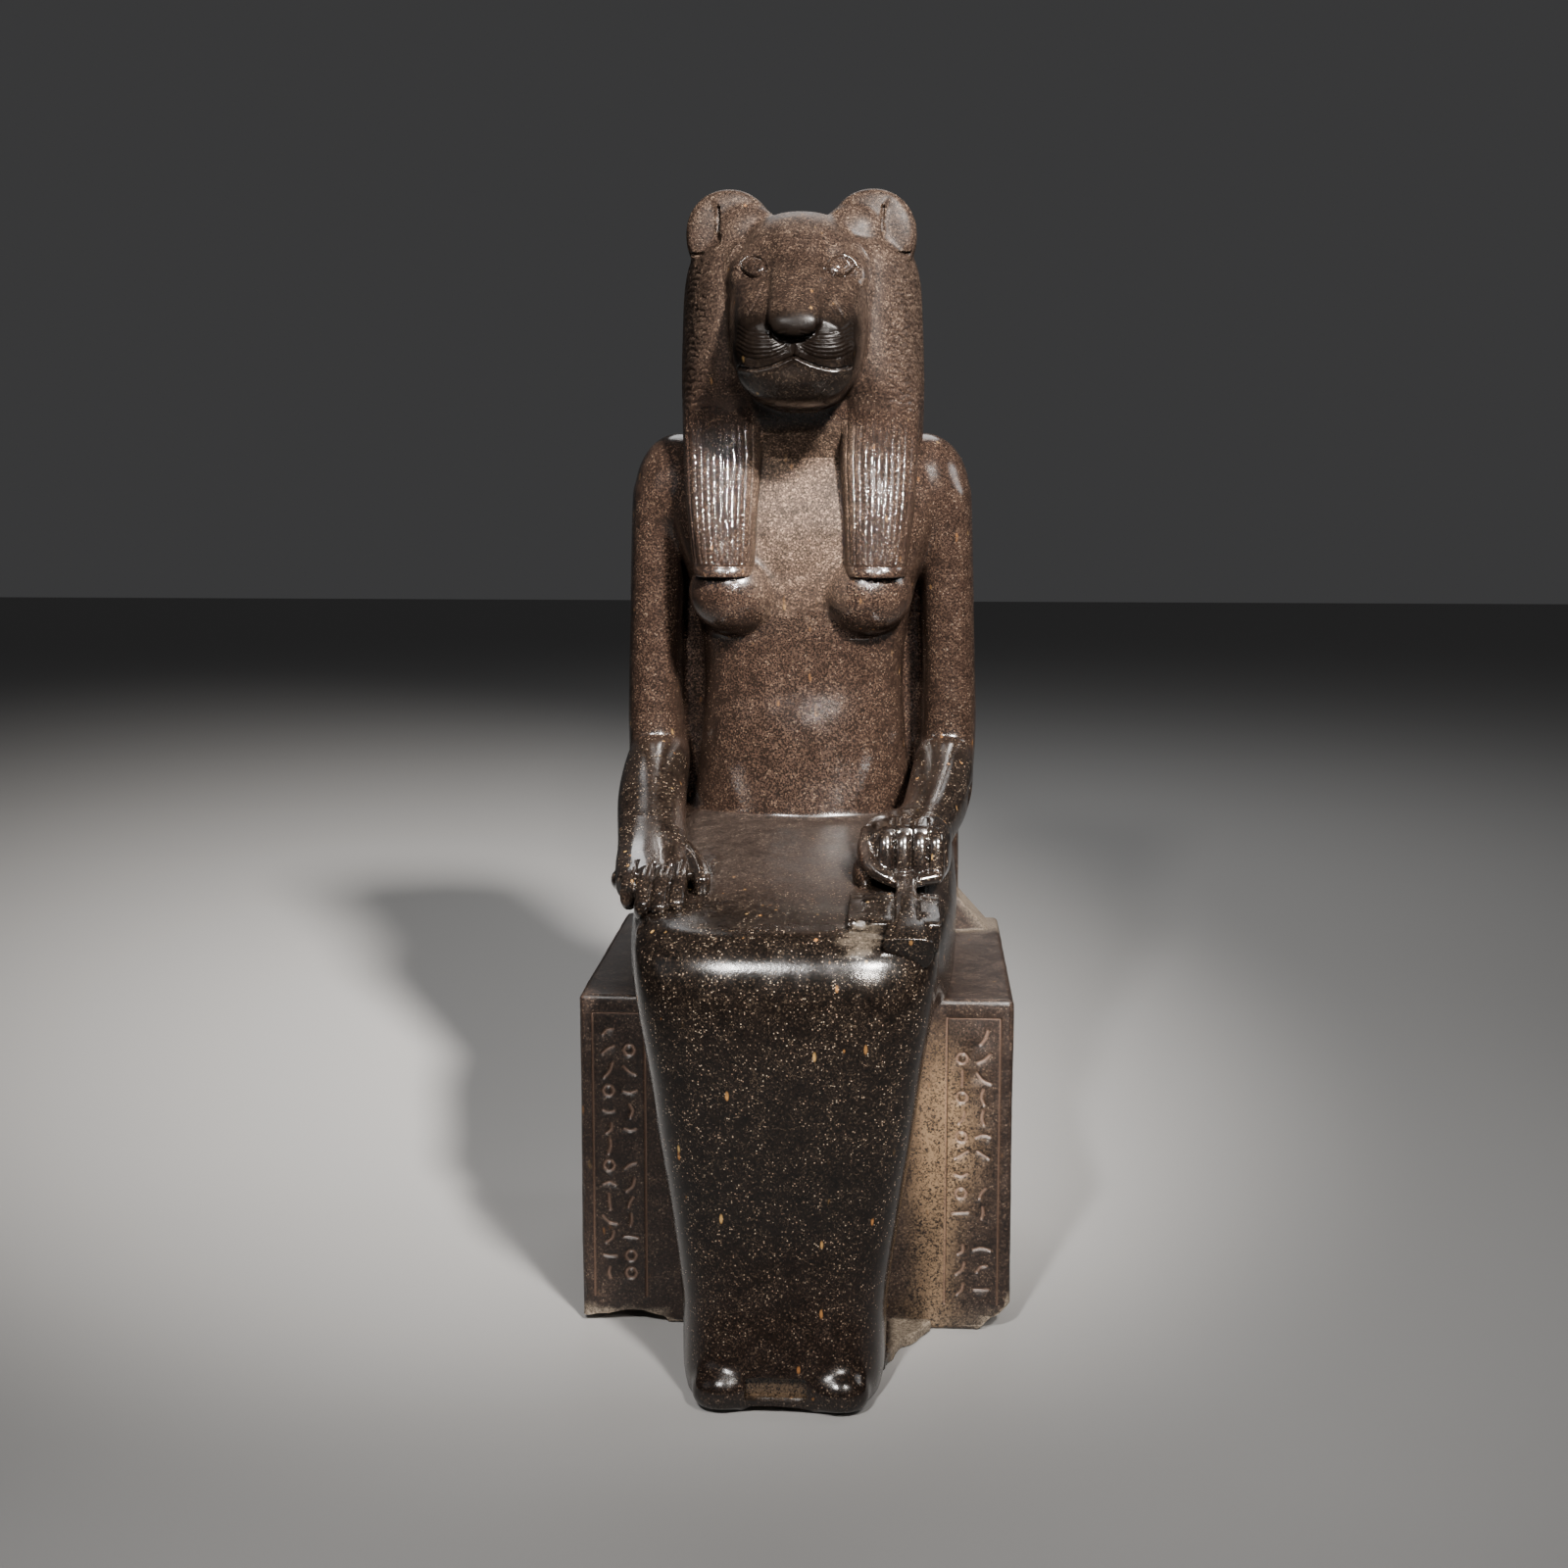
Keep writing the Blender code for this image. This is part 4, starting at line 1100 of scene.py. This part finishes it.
def paint(obj):
    """Writes where each finish of the stone lies, and where light and shade are painted: painted shade on the
    muzzle below the nose and painted light on the chest.
    """
    points = read(obj)
    normals = read(obj, "normal")
    x, forward, height = points[:, 0], -points[:, 1], points[:, 2]
    front, up = -normals[:, 1], normals[:, 2]
    own = x + MIDLINE
    wobble = noise(points, 5, 40)
    fore = ramp(forward + wobble, 54.2, 55.2)
    throne = (1 - ramp(forward, 54.3, 55)) * ramp(height, 52.5, 51)
    back = ramp(forward, 12, 10) * ramp(height, 62.5, 60)
    legs = fore * ramp(height + wobble, 69.5, 66.5)
    legs = np.maximum(legs, ramp(forward + 3 * wobble, 52, 68) * ramp(height, 73, 70))
    hands = ramp(forward, 16, 26) * ramp(np.abs(x), 17, 19) * ramp(height, 90, 84)
    hands = np.maximum(hands, ramp(forward, 42, 48) * ramp(x, -11, -12))
    hands = np.maximum(hands, ramp(forward, 42, 46) * ramp(x, 10.4, 11.4))
    legs = np.maximum(legs, 0.85 * hands * ramp(height, 60, 66))
    legs *= 1 - 0.5 * ramp(height, 26, 8)
    # Painted shade on the muzzle below the nose: darkest under the nose, lighter toward the chin, and given the
    # legs' dark stone as well.
    muzzle = ramp(forward, 36.5, 43.5) * ramp(height + 1.2 * wobble, 155.2, 149.6) * ramp(height, 136, 140)
    face = ramp(forward + wobble, 31, 41) * ramp(height, 136, 140)
    specks = (0.35 + 0.65 * legs) * (1 - 0.9 * face)
    legs = np.maximum(legs, np.maximum(muzzle, 0.5 * face))
    painted_nose_shade = muzzle * (1 - 0.6 * ramp(height, 146, 143))
    thighs = ramp(height, 78, 76.4) * ramp(up, 0.35, 0.7) * ramp(forward, 20, 25) * ramp(height, 60, 66)
    lap = thighs * (1 - legs)
    satin = thighs * (1 - hands) * ramp(forward + wobble, 75, 68)
    lappets = between(height, 113, 115, 134, 139) * ramp(np.abs(x), 7, 8) * ramp(forward, 29.6, 31)
    fingers = hands * between(forward, 50, 54, 61, 62.5) * ramp(height, 66, 68)
    polish = np.maximum(0.5 * lappets, fingers)
    mane = ramp(height, 136, 142) * np.maximum(ramp(forward, 38, 33), ramp(height, 162, 167))
    # Painted light on the chest between the lappets: a lighter stone there stands in for the light on the
    # upward-sloping chest, together with the chest's own coarser mottling.
    chest = ramp(np.abs(x + wobble), 9.6, 5.8) * ramp(height + 2 * wobble, 101, 117)
    chest *= ramp(height, 138, 133) * ramp(forward, 20, 23)
    mane = np.maximum(mane, chest)
    seat = ramp(up, 0.6, 0.9) * ramp(height, 62, 50.4) * ramp(np.abs(x), 22, 24)
    grey = np.maximum(0.45 * ramp(height, 138, 148), seat) * (1 - np.maximum(muzzle, 0.8 * face))
    matt = np.clip(throne + 0.9 * back, 0, 1)
    hot = np.exp(-(((own - 22.8) / 4) ** 2 + ((height - 30) / 9) ** 2))
    strip = np.exp(-(((own - 21) / 2.6) ** 2)) * ramp(height, 50, 36)
    stain = np.clip(hot + 0.75 * strip, 0, 1) * ramp(x, 10, 15)
    stain *= between(forward, 53, 53.6, 54.4, 54.9)
    incised = panel_cut(np.stack([own, height], axis=1)) * ramp(front, 0.3, 0.6)
    incised *= between(forward, 53, 53.4, 54.5, 55)
    broken = np.zeros(len(points))
    lower = ramp(forward, 48.4, 49.5) * (1 - fore)
    broken = np.maximum(broken, lower * ramp(own, -18.2, -19.2) * ramp(height, 2.6, 1.2) * ramp(up, -0.2, -0.5))
    broken = np.maximum(broken, lower * ramp(own, 26.4, 27.4) * ramp(height, 5.2, 4.2) * ramp(up, 0, -0.3))
    corner = between(forward, 53.8, 54.6, 72, 73.5) * ramp(own, 13.6, 14.4)
    broken = np.maximum(broken, corner * ramp(height, 3, 2.2) * ramp(own, 15.0 - 0.02 * forward, 15.4))
    recess = ramp(height, 6, 5.2) * ramp(np.abs(x + 0.6), 5.2, 4.6)
    recess *= between(forward, 78.5, 80, 81.6, 82.2)
    stain = np.maximum(stain, 0.3 * recess)
    slope = ramp(own, 20.5, 22) * ramp(forward, 12, 10.5) * ramp(height, 50.5, 51.5)
    broken = np.maximum(broken, 0.5 * slope * ramp(up, 0.2, 0.5))
    ragged = 1.2 * noise(points, 1.1, 41)[:, None]
    patch = mound(points[:, [0, 2]] + ragged, (10.9, 65.6), (2.8, 2.3)) * ramp(forward, 72, 73.5)
    broken = np.maximum(broken, 0.25 * ramp(patch, 0.05, 0.3))
    for name, values in dict(
        legs=legs, lap=lap, grey=grey, matt=matt, stain=stain, cut=incised, broken=broken, mane=mane,
        chest=0.7 * chest, painted_nose_shade=painted_nose_shade, specks=specks, satin=satin, polish=polish,
    ).items():
        layer = obj.data.attributes.new(name, "FLOAT", "POINT")
        layer.data.foreach_set("value", values.astype(np.float32))


# Put together


def to_metres(obj):
    low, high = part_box("statue")
    unit = (high.z - low.z) / SOLID_HEIGHT
    points = read(obj)
    write(obj, (points + (MIDLINE, 0, 0)) * unit + (0, high.y, low.z))


def make_statue():
    rng = np.random.default_rng(7)
    statue = make_body()
    parts = [make_head(rng), make_hands(), make_throne(), *make_back(), make_remnant()]
    combine(statue, parts, "UNION")
    combine(statue, [*make_breaks(), *make_hem_recess()], "DIFFERENCE")
    statue.name = "carved_statue"
    for polygon in statue.data.polygons:
        polygon.use_smooth = True
    statue.data.set_sharp_from_angle(angle=math.radians(SHARP_ANGLE))
    paint(statue)
    to_metres(statue)
    statue.data.materials.clear()
    statue.data.materials.append(make_stone())
    return statue


# The studio


def make_floor():
    mesh = bpy.data.meshes.new("floor")
    mesh.from_pydata([(-12, -8, 0), (12, -8, 0), (12, 14, 0), (-12, 14, 0)], [], [(0, 1, 2, 3)])
    floor = bpy.data.objects.new("floor", mesh)
    bpy.context.scene.collection.objects.link(floor)
    made = stone("pale_floor")
    shader = made.node_tree.nodes["Principled BSDF"]
    shader.inputs["Base Color"].default_value = (0.36, 0.355, 0.35, 1)
    shader.inputs["Roughness"].default_value = 0.8
    mesh.materials.append(made)


def make_light(name, place, target, size, power, colour, spread):
    data = bpy.data.lights.new(name, "AREA")
    data.shape = "DISK"
    data.size = size
    data.energy = power
    data.color = colour
    data.spread = math.radians(spread)
    light = bpy.data.objects.new(name, data)
    light.location = place
    light.rotation_euler = (Vector(target) - Vector(place)).to_track_quat("-Z", "Y").to_euler()
    bpy.context.scene.collection.objects.link(light)


def make_studio():
    make_floor()
    make_light("key", (1.7, -3.4, 3.9), (0, 0, 1.44), 0.5, 56, (1, 0.95, 0.90), 33)
    make_light("glint", (0.45, -3.4, 2.3), (0.01, -0.1, 1.26), 0.12, 0.7, (1, 0.97, 0.95), 13)
    make_light("knees", (-0.75, -3.45, 3.3), (0, -0.2, 0.60), 0.3, 21, (1, 0.97, 0.94), 60)
    make_light("right", (1.2, -3.1, 2.2), (0.22, -0.1, 0.56), 0.3, 1.8, (1, 0.93, 0.85), 20)
    make_light("fill", (-3.4, -2.2, 2.4), (0, 0, 0.9), 2.4, 1.4, (0.95, 0.97, 1), 90)
    make_light("side", (3, 0.6, 2.4), (0, 0, 0.8), 1.2, 5, (1, 1, 1), 90)
    make_light("behind", (0, 3.6, 4.2), (0, 2.4, 0), 3, 60, (1, 1, 1), 150)
    world = bpy.data.worlds.new("studio")
    world.use_nodes = True
    world.node_tree.nodes["Background"].inputs["Color"].default_value = (0.50, 0.50, 0.51, 1)
    world.node_tree.nodes["Background"].inputs["Strength"].default_value = 0.095
    bpy.context.scene.world = world


def make_camera():
    data = bpy.data.cameras.new("camera")
    data.lens = LENS
    data.sensor_width = 36
    data.shift_y = CAMERA_SHIFT
    camera = bpy.data.objects.new("camera", data)
    camera.location = CAMERA_PLACE
    camera.rotation_euler = (math.radians(90 - CAMERA_DOWN), 0, math.radians(CAMERA_TURN))
    bpy.context.scene.collection.objects.link(camera)
    bpy.context.scene.camera = camera


make_camera()
statue = make_statue()
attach(statue, "root")
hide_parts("statue")
make_studio()
